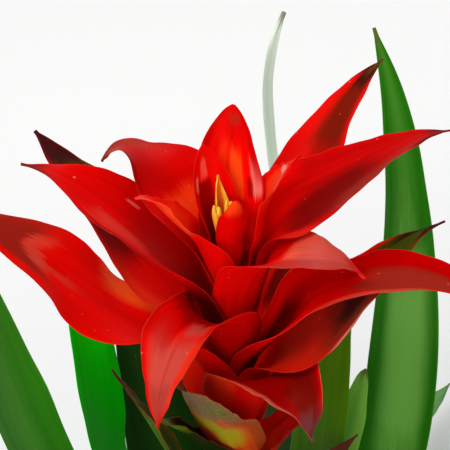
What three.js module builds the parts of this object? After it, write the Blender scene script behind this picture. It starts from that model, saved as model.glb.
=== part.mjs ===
// A guzmania in flower: a rosette of green strap leaves, and from its heart an upright stalk
// with a star of red bracts round a few small yellow flowers. The plant is cut at its foot,
// stands on the cut, and its lowest leaves lie on the ground.
// Millimetres, +Z up, origin at the middle of the cut. The star's best side faces -Y.
import * as THREE from 'three';

// Driving dimensions.
const cupHeight = 320; // height of the open cup of flowers at the stalk's top
const stalkRadius = 4.4; // the stalk below the star
const tipRadius = 2.6; // the stalk's slender top, inside the cup
const stalkTop = cupHeight - 13;
const stumpRadius = 15; // the short stem that carries the leaves
const stumpHeight = 66;
const stumpEase = 10; // how far above the stump it has narrowed to the stalk
const topEase = 60; // the stalk narrows over this much below the cup
const bractThickness = 0.6;
const leafThickness = 0.8;
const seatGap = 0.5; // clear space between a sheath and what it clasps
const fullWrap = 1.7; // how far a sheath reaches round each way, in radians
const leastCurl = 0.02; // radians: a blade is never quite flat across

// How steeply a sheath rises, in degrees, at the ground, the stump's top, the stalk and the cup.
const sheathSlope = { ground: 42, stumpTop: 68, stalk: 66, cup: 76 };
const cupReach = [20, 110]; // between these depths below the cup its slope turns to the stalk's

// Shares of the sheath's length over which the blade's own rise and its open form take over.
const riseEase = [0.75, 1.35];
const openEase = [0.6, 1.5];

// A blade's form where its row in the tables below states nothing else.
const straight = [0, 0];
const usual = { widest: 0.28, taper: 1.15, turn: straight, roll: straight };

// The ripple of the margins: its size in mm, its cycles, and the phase of either margin.
const gentle = [0.5, 1.7, 0.6, 2.4];
const rippleEase = [0.1, 0.35];

const tipRoundness = 1.9; // the power that rounds a blade's outline towards its tip
const tipShare = 0.035; // the width left at the very tip
const groundSoftness = 7; // a drooping tip settles on the ground from this height down

// Rows along and columns across each kind of blade.
const facets = { bract: [12, 6], stalkBract: [9, 6], leaf: [13, 6], hood: [8, 4] };

const radians = (degrees) => (degrees * Math.PI) / 180;
const clamp01 = (x) => Math.min(1, Math.max(0, x));
const smooth = (a, b, x) => {
  const t = clamp01((x - a) / (b - a));
  return t * t * (3 - 2 * t);
};

// A smooth value at t from 0 to 1 through evenly spaced stations.
function along(stations, t) {
  const last = stations.length - 1;
  const x = clamp01(t) * last;
  const i = Math.min(last - 1, Math.floor(x));
  const f = x - i;
  const at = (k) => stations[Math.min(last, Math.max(0, k))];
  const slopeIn = (at(i + 1) - at(i - 1)) / 2;
  const slopeOut = (at(i + 2) - at(i)) / 2;
  const f2 = f * f;
  const f3 = f2 * f;
  return (
    at(i) * (2 * f3 - 3 * f2 + 1) +
    slopeIn * (f3 - 2 * f2 + f) +
    at(i + 1) * (3 * f2 - 2 * f3) +
    slopeOut * (f3 - f2)
  );
}

// The radius at a height of the stump, the stalk and its slender top.
function axisRadius(z) {
  const foot = smooth(0, stumpHeight + stumpEase, z);
  const top = smooth(cupHeight - topEase, stalkTop, z);
  return stumpRadius + (stalkRadius - stumpRadius) * foot + (tipRadius - stalkRadius) * top;
}

// How steeply a sheath rises along the stalk: lower sheaths flare more, so that each one
// clears the next one inside it.
function sheathRise(z) {
  const { ground, stumpTop, stalk, cup } = sheathSlope;
  if (z < stumpHeight + stumpEase) return ground + ((stumpTop - ground) * z) / stumpHeight;
  return cup + (stalk - cup) * smooth(cupHeight - cupReach[0], cupHeight - cupReach[1], z);
}

// Where the midrib runs: it climbs along the stalk as a sheath, then follows the blade's own
// rise above the horizontal and its turn from the azimuth at which it leaves the stalk.
function midrib(blade, steps) {
  const azimuth = radians(blade.az);
  const start = axisRadius(blade.z) + seatGap + blade.thickness / 2;
  const point = new THREE.Vector3(start * Math.cos(azimuth), start * Math.sin(azimuth), blade.z);
  const below = sheathRise(blade.z);
  const frameAt = (s) => {
    const free = clamp01((s - blade.clasp) / (blade.length - blade.clasp));
    const own = smooth(blade.clasp * riseEase[0], blade.clasp * riseEase[1], s);
    const rise = radians(below + (along(blade.rise, free) - below) * own);
    const heading = azimuth + radians(along(blade.turn, free));
    const tangent = new THREE.Vector3(
      Math.cos(rise) * Math.cos(heading),
      Math.cos(rise) * Math.sin(heading),
      Math.sin(rise),
    );
    return { s, free, heading, tangent };
  };
  const places = [];
  const fine = 8;
  const step = blade.length / (steps * fine);
  for (let i = 0; i <= steps; i++) {
    const s = (i / steps) * blade.length;
    places.push({ ...frameAt(s), point: point.clone() });
    for (let k = 0; k < fine; k++) point.addScaledVector(frameAt(s + (k + 0.5) * step).tangent, step);
  }
  return places;
}

// The blade's width: a sheath, then the blade, then a drawn-out tip.
function widthAt(blade, free) {
  const { widest, sheath, width, taper } = blade;
  if (free < widest) return sheath + (width - sheath) * smooth(0, widest, free);
  const x = (free - widest) / (1 - widest);
  const share = Math.pow(1 - Math.pow(x, tipRoundness), taper);
  return width * Math.max(share, tipShare);
}

// The grid of points of the blade's middle surface: wrapped round the stalk as a sheath, then
// open with its own curl from margin to margin.
function bladeGrid(blade, rows, columns) {
  const grid = [];
  const [size, cycles, onePhase, otherPhase] = blade.wave ?? gentle;
  for (const { s, free, heading, point, tangent } of midrib(blade, rows)) {
    const flatSide = new THREE.Vector3(-Math.sin(heading), Math.cos(heading), 0);
    const flatUp = new THREE.Vector3().crossVectors(tangent, flatSide);
    const roll = radians(along(blade.roll, free));
    const side = flatSide.clone().multiplyScalar(Math.cos(roll));
    side.addScaledVector(flatUp, Math.sin(roll));
    const inward = flatUp.clone().multiplyScalar(Math.cos(roll));
    inward.addScaledVector(flatSide, -Math.sin(roll));
    const width = widthAt(blade, free);
    const curl = Math.max(leastCurl, radians(along(blade.curl, free)));
    const radius = Math.hypot(point.x, point.y);
    const azimuth = Math.atan2(point.y, point.x);
    const reach = Math.min(fullWrap, width / 2 / radius);
    const open = smooth(blade.clasp * openEase[0], blade.clasp * openEase[1], s);
    const row = [];
    for (let j = 0; j <= columns; j++) {
      const u = (2 * j) / columns - 1;
      const bend = (u * curl) / 2;
      const ripple = Math.sin(2 * Math.PI * cycles * free + (u > 0 ? onePhase : otherPhase));
      const wave = size * ripple * u * u * smooth(rippleEase[0], rippleEase[1], free);
      const spread = point.clone().addScaledVector(side, (width / curl) * Math.sin(bend));
      spread.addScaledVector(inward, (width / curl) * (1 - Math.cos(bend)) + wave);
      const wrap = u * reach;
      const round = new THREE.Vector3(
        radius * Math.cos(azimuth + wrap),
        radius * Math.sin(azimuth + wrap),
        point.z,
      );
      row.push(round.lerp(spread, open));
    }
    grid.push(row);
  }
  return grid;
}

// Keeps a drooping tip from passing below the ground: it lies along it.
function restOnGround(grid, halfThickness) {
  for (const p of grid.flat()) {
    const share = (p.z - halfThickness) / groundSoftness;
    if (share < 1) p.z = halfThickness + groundSoftness * Math.exp(share - 1);
  }
}

function closedGeometry(position, index) {
  const geometry = new THREE.BufferGeometry();
  geometry.setAttribute('position', new THREE.Float32BufferAttribute(position, 3));
  geometry.setIndex(index);
  geometry.computeVertexNormals();
  return geometry;
}

// A closed thin solid on both sides of a grid of points.
function sheetSolid(grid, thickness) {
  const rows = grid.length;
  const columns = grid[0].length;
  const normals = grid.map((row, i) =>
    row.map((p, j) => {
      const ahead = grid[Math.min(rows - 1, i + 1)][j];
      const behind = grid[Math.max(0, i - 1)][j];
      const onward = row[Math.min(columns - 1, j + 1)];
      const before = row[Math.max(0, j - 1)];
      const lengthwise = new THREE.Vector3().subVectors(ahead, behind);
      const crosswise = new THREE.Vector3().subVectors(onward, before);
      return lengthwise.cross(crosswise).normalize();
    }),
  );
  const position = [];
  for (const side of [0.5, -0.5]) {
    grid.forEach((row, i) =>
      row.forEach((p, j) => {
        const q = p.clone().addScaledVector(normals[i][j], side * thickness);
        position.push(q.x, q.y, q.z);
      }),
    );
  }
  const top = (i, j) => i * columns + j;
  const under = (i, j) => rows * columns + i * columns + j;
  const index = [];
  for (let i = 0; i < rows - 1; i++) {
    for (let j = 0; j < columns - 1; j++) {
      index.push(top(i, j), top(i + 1, j), top(i + 1, j + 1));
      index.push(top(i, j), top(i + 1, j + 1), top(i, j + 1));
      index.push(under(i, j), under(i + 1, j + 1), under(i + 1, j));
      index.push(under(i, j), under(i, j + 1), under(i + 1, j + 1));
    }
  }
  const wall = (a, b) => {
    index.push(top(...a), top(...b), under(...b));
    index.push(top(...a), under(...b), under(...a));
  };
  for (let i = 0; i < rows - 1; i++) {
    wall([i + 1, 0], [i, 0]);
    wall([i, columns - 1], [i + 1, columns - 1]);
  }
  for (let j = 0; j < columns - 1; j++) {
    wall([0, j], [0, j + 1]);
    wall([rows - 1, j + 1], [rows - 1, j]);
  }
  return closedGeometry(position, index);
}

const red = { color: 0xc80a04, roughness: 0.42 };
const olive = { color: 0x5a3a1c, roughness: 0.5 };
const green = { color: 0x2c7a14, roughness: 0.45 };
const yellow = { color: 0xf2a51a, roughness: 0.5 };
const stem = { color: 0x6d7f35, roughness: 0.6 };

// The star's bracts, from the innermost outwards. z is where a bract leaves the stalk, below the
// cup, and az its azimuth: 0 is +X, and -90 faces the viewer. Rise, turn, roll and curl are
// stations from the sheath's end to the tip, in degrees.
const star = [
  {
    name: 'heart', z: -17, az: -71.5, clasp: 6.5, length: 32, width: 15, sheath: 12, widest: 0.29,
    taper: 0.6,
    rise: [82, 79, 76, 77, 96], turn: [0, 3, 0, 3, -1], roll: [0, 4, -5, -2, 0],
    curl: [151, 166, 156, 149, 140],
  },
  {
    name: 'inner_left', z: -21, az: 123, clasp: 10.5, length: 46.5, width: 21.5, sheath: 15,
    widest: 0.29, taper: 0.76,
    rise: [80, 76, 77, 76, 88], turn: [0, 1, -5, -5, -3], roll: [0, 0, -6, -8, -3],
    curl: [150, 161, 153, 119, 92],
  },
  {
    name: 'crest', z: -25.6, az: 84, clasp: 7.5, length: 61.5, width: 27.5, sheath: 13,
    widest: 0.24, taper: 0.58,
    rise: [76, 79, 64, 65, 68], turn: [0, -2, 3, -12, -13], roll: [0, 0, 4, -1, -4],
    curl: [146, 156, 91, 65, 61],
  },
  {
    name: 'inner_right', z: -30.2, az: 16, clasp: 15.5, length: 57.5, width: 25.5, sheath: 11,
    widest: 0.26, taper: 1.21,
    rise: [72, 72, 68, 58, 36], turn: [0, 1, -5, -6, -10], roll: [0, 0, -8, -11, -6],
    curl: [147, 126, 92, 61, 53],
  },
  {
    name: 'small_left', z: -33, az: 205, clasp: 24, length: 61, width: 20.5, sheath: 25,
    widest: 0.27, taper: 1.24,
    rise: [70, 60, 52, 53, 14], turn: [0, -8, -13, -15, 5], roll: [0, 0, 3, 10, 15],
    curl: [159, 117, 75, 72, 65],
  },
  {
    name: 'back_left', z: -36.4, az: 139.5, clasp: 18.5, length: 82.5, width: 34.5, sheath: 25,
    widest: 0.29, taper: 1.08,
    rise: [70, 58, 39, 8, -63], turn: [0, 0, 0, 6, 40], roll: [0, 0, -7, 17, -11],
    curl: [150, 90, 49, 27, 22],
  },
  {
    name: 'right', z: -40.2, az: 10.5, clasp: 28, length: 106.5, width: 42, sheath: 20,
    widest: 0.27, taper: 1.22,
    rise: [57, 35, 24, 21, -1], turn: [0, -7, 6, 7, -2], roll: [0, 5, -9, -15, -11],
    curl: [161, 65, 48, 47, 42],
  },
  {
    name: 'right_low', z: -46, az: -55, clasp: 27.5, length: 82.5, width: 31.5, sheath: 28,
    taper: 1.42,
    rise: [60, 50, 25, -12, -49], turn: [0, 12, 23, 46, 34], roll: [0, -6, -3, -2, -21],
    curl: [160, 99, 44, 20, 11],
  },
  {
    name: 'back_right', z: -50.6, az: 44, clasp: 22, length: 113, width: 27.5, sheath: 25,
    taper: 1.07,
    rise: [53, 41, 40, 39, 20], turn: [0, 0, 3, 0, -6], roll: [0, 0, 2, -7, 6],
    curl: [160, 110, 69, 60, 50],
  },
  {
    name: 'left', z: -54.5, az: 179, clasp: 22.5, length: 106.5, width: 35, sheath: 30.5,
    widest: 0.29, taper: 1.24,
    rise: [66, 57, 49, 38, 20], turn: [0, 1, 1, -6, 9], roll: [0, -5, -13, -22, 4],
    curl: [169, 111, 66, 50, 43],
  },
  {
    name: 'front_left', z: -60, az: -116, clasp: 24, length: 83.5, width: 27.5, sheath: 34.5,
    taper: 1.2,
    rise: [56, 23, -33, -67, -84], turn: [0, -15, -7, -12, 2], roll: [0, 0, 7, 5, -3],
    curl: [164, 111, 68, 43, 31],
  },
  {
    name: 'right_long', z: -67, az: -28.8, clasp: 11.8, length: 111.8, width: 34.9, sheath: 24.5,
    widest: 0.31, taper: 0.96, wave: [2.65, 1.37, -0.12, 1.58],
    rise: [55, 56, 31, -1, -16], turn: [0, 4, 12, 18, 7], roll: [0, 8, -2, 12, 6],
    curl: [156, 95, 55, 53, 28],
  },
  {
    name: 'left_rear', z: -71, az: 153.5, clasp: 23, length: 115, width: 36.5, sheath: 30,
    taper: 1.08,
    rise: [60, 42, 53, 42, 43], turn: [0, 0, -2, -5, -11], roll: [0, -10, 0, 4, 0],
    curl: [170, 89, 69, 46, 42],
  },
  {
    name: 'left_low', z: -78, az: 192.5, clasp: 23.5, length: 135.5, width: 35.5, sheath: 36,
    widest: 0.31, taper: 0.98, wave: [3.2, 1.6, 0.4, 1.3],
    rise: [50, 39, 52, 50, 56], turn: [0, 0, 2, 3, -5], roll: [0, -5, -29, -35, -44],
    curl: [166, 85, 46, 34, 19],
  },
  {
    name: 'right_rear', z: -82, az: -34.3, clasp: 25.6, length: 111.5, width: 37.9,
    sheath: 27.5, widest: 0.27, taper: 1.3, wave: [0.1, 1.7, 0.6, 2.4],
    rise: [45, 46, 46, 31, 20], turn: [0, 27, 51, 60, 42], roll: [0, 4, -6, -12, -10],
    curl: [160, 46, 41, 29, 21],
  },
  {
    name: 'front_right', z: -89.6, az: -67.1, clasp: 35.3, length: 77, width: 27.8,
    sheath: 40.5, widest: 0.29, taper: 1.39, wave: [2.8, 1.85, 1.45, 1.75],
    rise: [45, 26, -7, -40, -56], turn: [0, 30, 12, -10, -12], roll: [0, -17, 21, 32, -4],
    curl: [172, 34, 50, 36, 20],
  },
  {
    name: 'rear_low_right', z: -96.5, az: 66, clasp: 22, length: 82, width: 34, sheath: 26,
    rise: [45, 36, 28, 20, 10], curl: [160, 100, 60, 40, 30],
  },
  {
    name: 'rear_low_left', z: -103.5, az: 136, clasp: 28, length: 79, width: 32, sheath: 34.5,
    rise: [44, 34, 28, 22, 14], curl: [160, 100, 60, 40, 30],
  },
  {
    name: 'front_low', z: -108.5, az: -119.5, clasp: 32.5, length: 69, width: 30, sheath: 36,
    taper: 1.13,
    rise: [62, 61, 69, 59, 50], turn: [0, -8, -17, -29, -33], roll: [0, -1, 3, 6, 3],
    curl: [167, 99, 87, 73, 51],
  },
];

// The small leafy bracts down the stalk, green to purple brown.
const stalkBracts = [
  {
    name: 'olive', z: -117, az: 221, clasp: 20, length: 62, width: 18, sheath: 27,
    rise: [62, 58, 54, 50, 44], curl: [160, 120, 90, 80, 60],
  },
  {
    name: 'russet', z: -121, az: 0, clasp: 20, length: 45, width: 21, sheath: 27,
    rise: [62, 56, 50, 44, 34], curl: [160, 120, 90, 80, 60],
  },
  {
    name: 'green_rear', z: -134, az: 96, clasp: 22, length: 84, width: 20, sheath: 27,
    rise: [62, 54, 46, 38, 28], curl: [160, 120, 90, 80, 60],
  },
  {
    name: 'green_left', z: -158, az: 190, clasp: 22, length: 110, width: 18, sheath: 27,
    rise: [74, 72, 70, 68, 66], curl: [160, 120, 90, 80, 60],
  },
  {
    name: 'green_front', z: -172, az: -96, clasp: 24, length: 84, width: 20, sheath: 27,
    rise: [64, 58, 48, 36, 20], curl: [160, 120, 90, 80, 60],
  },
  {
    name: 'green_right', z: -190, az: 26, clasp: 24, length: 86, width: 21, sheath: 27,
    rise: [68, 62, 56, 46, 32], curl: [160, 120, 90, 80, 60],
  },
];

// The rosette, from the topmost leaf down. z is above the ground.
const leaves = [
  {
    name: 'rear_right', z: 62, az: 52, length: 208, width: 30, widest: 0.44, taper: 0.64,
    rise: [80, 65, 79, 77, 30], turn: [0, -4, -6, 7, 3], roll: [0, -1, -11, 0, 5],
    curl: [150, 89, 31, 43, 39],
  },
  {
    name: 'left_mid', z: 58.8, az: 165.5, length: 241.5, width: 28.5, widest: 0.42, taper: 0.65,
    rise: [78, 71, 79, 88, 60], turn: [0, 0, -11, -40, -56], roll: [0, 0, 15, 9, -10],
    curl: [150, 91, 38, 45, 39],
  },
  {
    name: 'front_left_up', z: 55.2, az: 234, length: 225, width: 29,
    rise: [72, 56, 36, 10, -25],
  },
  {
    name: 'rear_right_short', z: 52.4, az: 43, length: 172, width: 19, taper: 0.5,
    rise: [77, 72, 68, 68, 70],
  },
  {
    name: 'rear_left', z: 49.2, az: 124.5, length: 213, width: 46,
    rise: [78, 76, 72, 68, 60],
  },
  {
    name: 'front_right_up', z: 46, az: 296, length: 255, width: 29,
    rise: [70, 54, 34, 8, -28],
  },
  {
    name: 'left_tall', z: 42.2, az: 170, length: 341, width: 35.5, widest: 0.42, taper: 1.04,
    rise: [72, 67, 75, 77, 52], turn: [0, 1, -6, -8, 1], roll: [0, 0, -6, -6, 0],
    curl: [150, 90, 44, 42, 40],
  },
  {
    name: 'right_out', z: 39.4, az: -4, length: 315, width: 30,
    rise: [68, 67, 62, 52, 38],
  },
  {
    name: 'rear_thin', z: 35.2, az: 81, length: 319.5, width: 28.5, widest: 0.42, taper: 0.95,
    rise: [72, 60, 57, 66, 39], turn: [0, -1, -8, 22, -24], roll: [0, 0, 30, 59, 75],
    curl: [150, 90, 49, 50, 37],
  },
  {
    name: 'right_tall', z: 31, az: 36, length: 329, width: 31, widest: 0.38, taper: 0.87,
    rise: [62, 63, 72, 74, 61], turn: [0, 10, 37, 58, 87], roll: [0, 0, 5, 15, -14],
    curl: [150, 88, 52, 52, 38],
  },
  {
    name: 'front', z: 28, az: 266, length: 300, width: 31,
    rise: [64, 44, 18, -15, -50],
  },
  {
    name: 'left_out', z: 24.6, az: 192, length: 330, width: 32,
    rise: [62, 48, 26, -6, -42],
  },
  {
    name: 'front_right', z: 21.2, az: 326, length: 330, width: 32,
    rise: [58, 40, 14, -20, -50],
  },
  {
    name: 'low_front_left', z: 17.8, az: 240, length: 330, width: 32,
    rise: [52, 28, -2, -30, -30],
  },
  {
    name: 'low_right', z: 14.6, az: 12, length: 325, width: 32,
    rise: [50, 26, -2, -30, -30],
  },
  {
    name: 'low_left', z: 11.6, az: 160, length: 320, width: 32,
    rise: [46, 22, -4, -28, -28],
  },
  {
    name: 'low_front', z: 8.8, az: 288, length: 315, width: 32,
    rise: [42, 18, -6, -28, -24],
  },
  {
    name: 'low_rear', z: 6, az: 66, length: 310, width: 32,
    rise: [40, 16, -8, -28, -24],
  },
];

const leafHabit = { clasp: 36, sheath: 36, widest: 0.4, taper: 1.1, curl: [150, 90, 50, 40, 40] };

const part = new THREE.Group();

function addPiece(name, geometry, paint) {
  const mesh = new THREE.Mesh(geometry, new THREE.MeshStandardMaterial(paint));
  mesh.name = name;
  part.add(mesh);
}

function addBlade(name, habit, [rows, columns], paint) {
  const blade = { ...usual, ...habit };
  const grid = bladeGrid(blade, rows, columns);
  restOnGround(grid, blade.thickness / 2);
  addPiece(name, sheetSolid(grid, blade.thickness), paint);
}

for (const bract of star) {
  const blade = { ...bract, z: cupHeight + bract.z, thickness: bractThickness };
  addBlade('bract_' + bract.name, blade, facets.bract, red);
}

for (const bract of stalkBracts) {
  const blade = { ...bract, z: cupHeight + bract.z, thickness: bractThickness };
  addBlade('stalk_bract_' + bract.name, blade, facets.stalkBract, olive);
}

for (const leaf of leaves) {
  const blade = { ...leafHabit, ...leaf, thickness: leafThickness };
  addBlade('leaf_' + leaf.name, blade, facets.leaf, green);
}

// The stalk and the stump in one piece.
function axisSolid() {
  const steps = 16;
  const sides = 20;
  const profile = [new THREE.Vector2(0, 0)];
  for (let i = 0; i <= steps; i++) {
    const z = (i / steps) * stalkTop;
    profile.push(new THREE.Vector2(axisRadius(z), z));
  }
  profile.push(new THREE.Vector2(0, stalkTop));
  return new THREE.LatheGeometry(profile, sides).rotateX(Math.PI / 2);
}

// A flower: a slim three-sided tube that ends in three blunt lobes. It stands on the stalk's top.
const tubeShares = [0, 0.25, 0.5, 0.72, 0.88, 0.97]; // heights of its rings
const tubeSwell = [0.55, 0.7, 0.85, 1, 0.9, 0.55]; // their radii
const lobeDepth = 0.08;
const lobeRise = 0.06;
const throatHeight = 0.93;

function flowerSolid({ x, y, height, radius, lean }) {
  const sides = 12;
  const position = [];
  const index = [];
  tubeShares.forEach((share, i) => {
    for (let k = 0; k < sides; k++) {
      const angle = (k / sides) * 2 * Math.PI;
      const lobe = Math.cos(3 * angle) * share;
      const r = radius * tubeSwell[i] * (1 + lobeDepth * lobe);
      const z = height * share * (1 + lobeRise * lobe * share);
      position.push(x + lean * share + r * Math.cos(angle), y + r * Math.sin(angle), z);
    }
  });
  const foot = position.length / 3;
  position.push(x, y, 0);
  const throat = foot + 1;
  position.push(x + lean, y, height * throatHeight);
  const last = (tubeShares.length - 1) * sides;
  for (let k = 0; k < sides; k++) {
    const next = (k + 1) % sides;
    index.push(foot, next, k);
    for (let ring = 0; ring < last; ring += sides) {
      const a = ring + k;
      const b = ring + next;
      index.push(a, b, b + sides, a, b + sides, a + sides);
    }
    index.push(last + k, last + next, throat);
  }
  return closedGeometry(position, index).translate(0, 0, stalkTop + seatGap);
}

const flowers = [
  { name: 'left', x: -1.85, y: -1.8, height: 19.5, radius: 1.65, lean: -2.1 },
  { name: 'right', x: 0.7, y: -0.5, height: 20.5, radius: 1.6, lean: -0.3 },
];
for (const flower of flowers) addPiece('flower_' + flower.name, flowerSolid(flower), yellow);

// The tallest flower is open: a pointed hood that shows its hollow side to the front.
const hood = {
  z: stalkTop - 3, az: 125, clasp: 4, length: 33, width: 10.5, sheath: 4, taper: 1.1,
  rise: [88, 88, 90, 92, 94], curl: [190, 200, 180, 150, 120], thickness: bractThickness,
};
addBlade('flower_hood', hood, facets.hood, yellow);

addPiece('stalk', axisSolid(), stem);

export default part;
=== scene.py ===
# %% [markdown]
# # A guzmania in flower
# A guzmania is a rosette of strap leaves. From its heart rises one stalk, and the top of the
# stalk is a star of waxy red bracts, which are leaves that have turned into petals for a few
# small yellow flowers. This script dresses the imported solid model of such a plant: every blade
# is drawn again with a much finer mesh along the same curves, and every surface gets a material
# made only of shader nodes.

# %% Open the frame
import math
import bpy
import numpy as np
from mathutils import Matrix, Vector


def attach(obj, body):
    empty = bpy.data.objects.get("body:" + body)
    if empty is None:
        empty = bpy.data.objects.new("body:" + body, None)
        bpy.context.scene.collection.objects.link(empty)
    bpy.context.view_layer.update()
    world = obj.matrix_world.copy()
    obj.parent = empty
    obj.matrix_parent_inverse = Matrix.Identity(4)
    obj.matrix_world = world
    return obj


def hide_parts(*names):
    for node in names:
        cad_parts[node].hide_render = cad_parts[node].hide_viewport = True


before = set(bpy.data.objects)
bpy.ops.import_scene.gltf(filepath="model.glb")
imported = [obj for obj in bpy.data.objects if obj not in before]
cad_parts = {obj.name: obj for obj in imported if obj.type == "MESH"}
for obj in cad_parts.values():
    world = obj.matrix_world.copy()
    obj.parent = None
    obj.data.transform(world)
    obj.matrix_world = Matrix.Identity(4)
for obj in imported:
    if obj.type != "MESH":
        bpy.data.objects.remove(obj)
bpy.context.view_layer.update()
MM = 0.001

# %% [markdown]
# ## The camera
# The picture looks down on the star from 35 degrees above the horizon, from about 0.6 m away,
# and the plant leans a little to the left in it. A long lens keeps the bracts from bulging.
# Three unit vectors say it all: the camera's right, its up, and the way back towards it.

# %% Aim the camera
STAR_CENTRE = Vector((-1.0, 0.0, 318.8)) * MM
CAMERA_DISTANCE = 620 * MM
CAMERA_RISE = math.radians(35)
PLANT_LEAN = math.radians(3)
LENS = 145.9
SENSOR = 36.0


def camera_matrix():
    back = Vector((0, -math.cos(CAMERA_RISE), math.sin(CAMERA_RISE)))
    level = Vector((1, 0, 0))
    upright = back.cross(level)
    right = level * math.cos(PLANT_LEAN) - upright * math.sin(PLANT_LEAN)
    up = upright * math.cos(PLANT_LEAN) + level * math.sin(PLANT_LEAN)
    turned = Matrix((right, up, back)).transposed().to_4x4()
    turned.translation = STAR_CENTRE + back * CAMERA_DISTANCE
    return turned


def add_object(name, data):
    added = bpy.data.objects.new(name, data)
    bpy.context.scene.collection.objects.link(added)
    return added


camera = add_object("camera", bpy.data.cameras.new("camera"))
camera.data.lens = LENS
camera.data.sensor_width = SENSOR
camera.matrix_world = camera_matrix()
bpy.context.scene.camera = camera
bpy.context.scene.view_settings.view_transform = "Standard"
bpy.context.scene.view_settings.look = "Medium High Contrast"
print("camera at", [round(x, 3) for x in camera.matrix_world.translation])

# %% [markdown]
# ## A kit for materials
# Every finish here is made of shader nodes, so a few short helpers keep the recipes readable:
# one adds a node and feeds its sockets, and the others stand for the commonest nodes.


class Wires:
    """Adds nodes to one tree, each with its values or the sockets that feed it."""

    def __init__(self, tree):
        self.tree = tree

    def feed(self, socket, value):
        if isinstance(value, bpy.types.NodeSocket):
            self.tree.links.new(value, socket)
        elif socket.type == "RGBA" and len(value) == 3:
            socket.default_value = (*value, 1)
        else:
            socket.default_value = value

    def fill(self, node, sockets):
        for key, value in sockets.items():
            self.feed(node.inputs[key], value)

    def node(self, kind, sockets=None, **settings):
        node = self.tree.nodes.new(kind)
        for key, value in settings.items():
            setattr(node, key, value)
        self.fill(node, sockets or {})
        return node

    def math(self, operation, a, b=0.0):
        return self.node("ShaderNodeMath", {0: a, 1: b}, operation=operation).outputs[0]

    def plus(self, a, b):
        return self.math("ADD", a, b)

    def minus(self, a, b):
        return self.math("SUBTRACT", a, b)

    def times(self, a, b):
        return self.math("MULTIPLY", a, b)

    def ramp(self, value, low, high, out_low=0.0, out_high=1.0):
        sockets = {0: value, 1: low, 2: high, 3: out_low, 4: out_high}
        node = self.node("ShaderNodeMapRange", sockets, interpolation_type="SMOOTHSTEP")
        return node.outputs[0]

    def mix(self, factor, a, b):
        node = self.node("ShaderNodeMix", data_type="RGBA")
        for index, value in ((0, factor), (6, a), (7, b)):
            self.feed(node.inputs[index], value)
        return node.outputs[2]

    def noise(self, vector, scale, detail=2.0, roughness=0.5):
        sockets = {"Vector": vector, "Scale": scale, "Detail": detail, "Roughness": roughness}
        return self.node("ShaderNodeTexNoise", sockets).outputs["Fac"]

    def place(self):
        return self.node("ShaderNodeTexCoord").outputs["Object"]

    def split(self, vector):
        return self.node("ShaderNodeSeparateXYZ", {"Vector": vector}).outputs


def new_material(name):
    material = bpy.data.materials.new(name)
    material.use_nodes = True
    tree = material.node_tree
    return material, Wires(tree), tree.nodes["Principled BSDF"]


def new_group(name, inputs, outputs):
    tree = bpy.data.node_groups.new(name, "ShaderNodeTree")
    for given, default in inputs.items():
        socket = tree.interface.new_socket(given, in_out="INPUT", socket_type="NodeSocketFloat")
        socket.default_value = default
    for made in outputs:
        tree.interface.new_socket(made, in_out="OUTPUT", socket_type="NodeSocketFloat")
    wires = Wires(tree)
    return tree, wires, wires.node("NodeGroupInput").outputs, wires.node("NodeGroupOutput")


def use(wires, group, **sockets):
    node = wires.node("ShaderNodeGroup", node_tree=group)
    wires.fill(node, sockets)
    return node.outputs


print("kit ready")

# %% [markdown]
# ## The floor and the light
# The plant stands on a plain pale floor, painted a little darker near the plant as shade, in an
# even, pale room. One broad lamp hangs high in front, a little to the left. Blades that bend over
# towards the viewer send some of its light back as a shine, and the hollows between the bracts
# see little of it; the satin sheen and the deepest shade in the hollows are also painted into the
# bracts' colours. A weaker lamp from behind lights the upright tips and keeps the floor free of
# cast shadows, and a faint one low in front reaches in under the star's lowest bracts.

# %% Lay the floor
FLOOR_SIZE = 12.0
FLOOR_PALES = (0.2, 0.62)
# painted shade: the floor's colour is darker near the plant and lighter further back
FLOOR_NEAR_SHADE = ((0.87, 0.88, 0.88), (0.89, 0.895, 0.89))
FLOOR_FAR = ((0.985, 0.985, 0.98), (1.0, 1.0, 0.995))
FLOOR_CLOUDS = 3.0
FLOOR_ROUGHNESS = 0.9


def lay_floor():
    half = FLOOR_SIZE / 2
    mesh = bpy.data.meshes.new("floor")
    corners = [(-half, -half, 0), (half, -half, 0), (half, half, 0), (-half, half, 0)]
    mesh.from_pydata(corners, [], [(0, 1, 2, 3)])
    material, wires, surface = new_material("pale floor")
    place = wires.place()
    depth = wires.ramp(wires.split(place)["Y"], *FLOOR_PALES)
    tones = [wires.mix(depth, near, far) for near, far in zip(FLOOR_NEAR_SHADE, FLOOR_FAR)]
    colour = wires.mix(wires.noise(place, FLOOR_CLOUDS), *tones)
    wires.fill(surface, {"Base Color": colour, "Roughness": FLOOR_ROUGHNESS})
    mesh.materials.append(material)
    add_object("floor", mesh)


lay_floor()
print("floor laid,", FLOOR_SIZE, "m wide")

# %% Hang the lamps
ROOM_LIGHT = 0.345
LAMPS = {
    "lamp_front": dict(at=(-0.7, -1.1, 2.2), size=1.3, watts=27.0),
    "lamp_back": dict(at=(0.5, 1.5, 1.9), size=1.5, watts=13.0),
    "lamp_low": dict(at=(-0.35, -1.3, 0.6), size=1.0, watts=4.0),
}


def hang_lamp(name, at, size, watts):
    lamp = add_object(name, bpy.data.lights.new(name, "AREA"))
    lamp.data.shape = "DISK"
    lamp.data.size = size
    lamp.data.energy = watts
    lamp.location = Vector(at)
    aim = STAR_CENTRE - lamp.location
    lamp.rotation_euler = aim.to_track_quat("-Z", "Y").to_euler()


for lamp_name, lamp_values in LAMPS.items():
    hang_lamp(lamp_name, **lamp_values)
room = bpy.data.worlds.new("room")
room.use_nodes = True
Wires(room.node_tree).fill(
    room.node_tree.nodes["Background"], {"Color": (1, 1, 1), "Strength": ROOM_LIGHT})
bpy.context.scene.world = room
print("lamps:", ", ".join(LAMPS))

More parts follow.
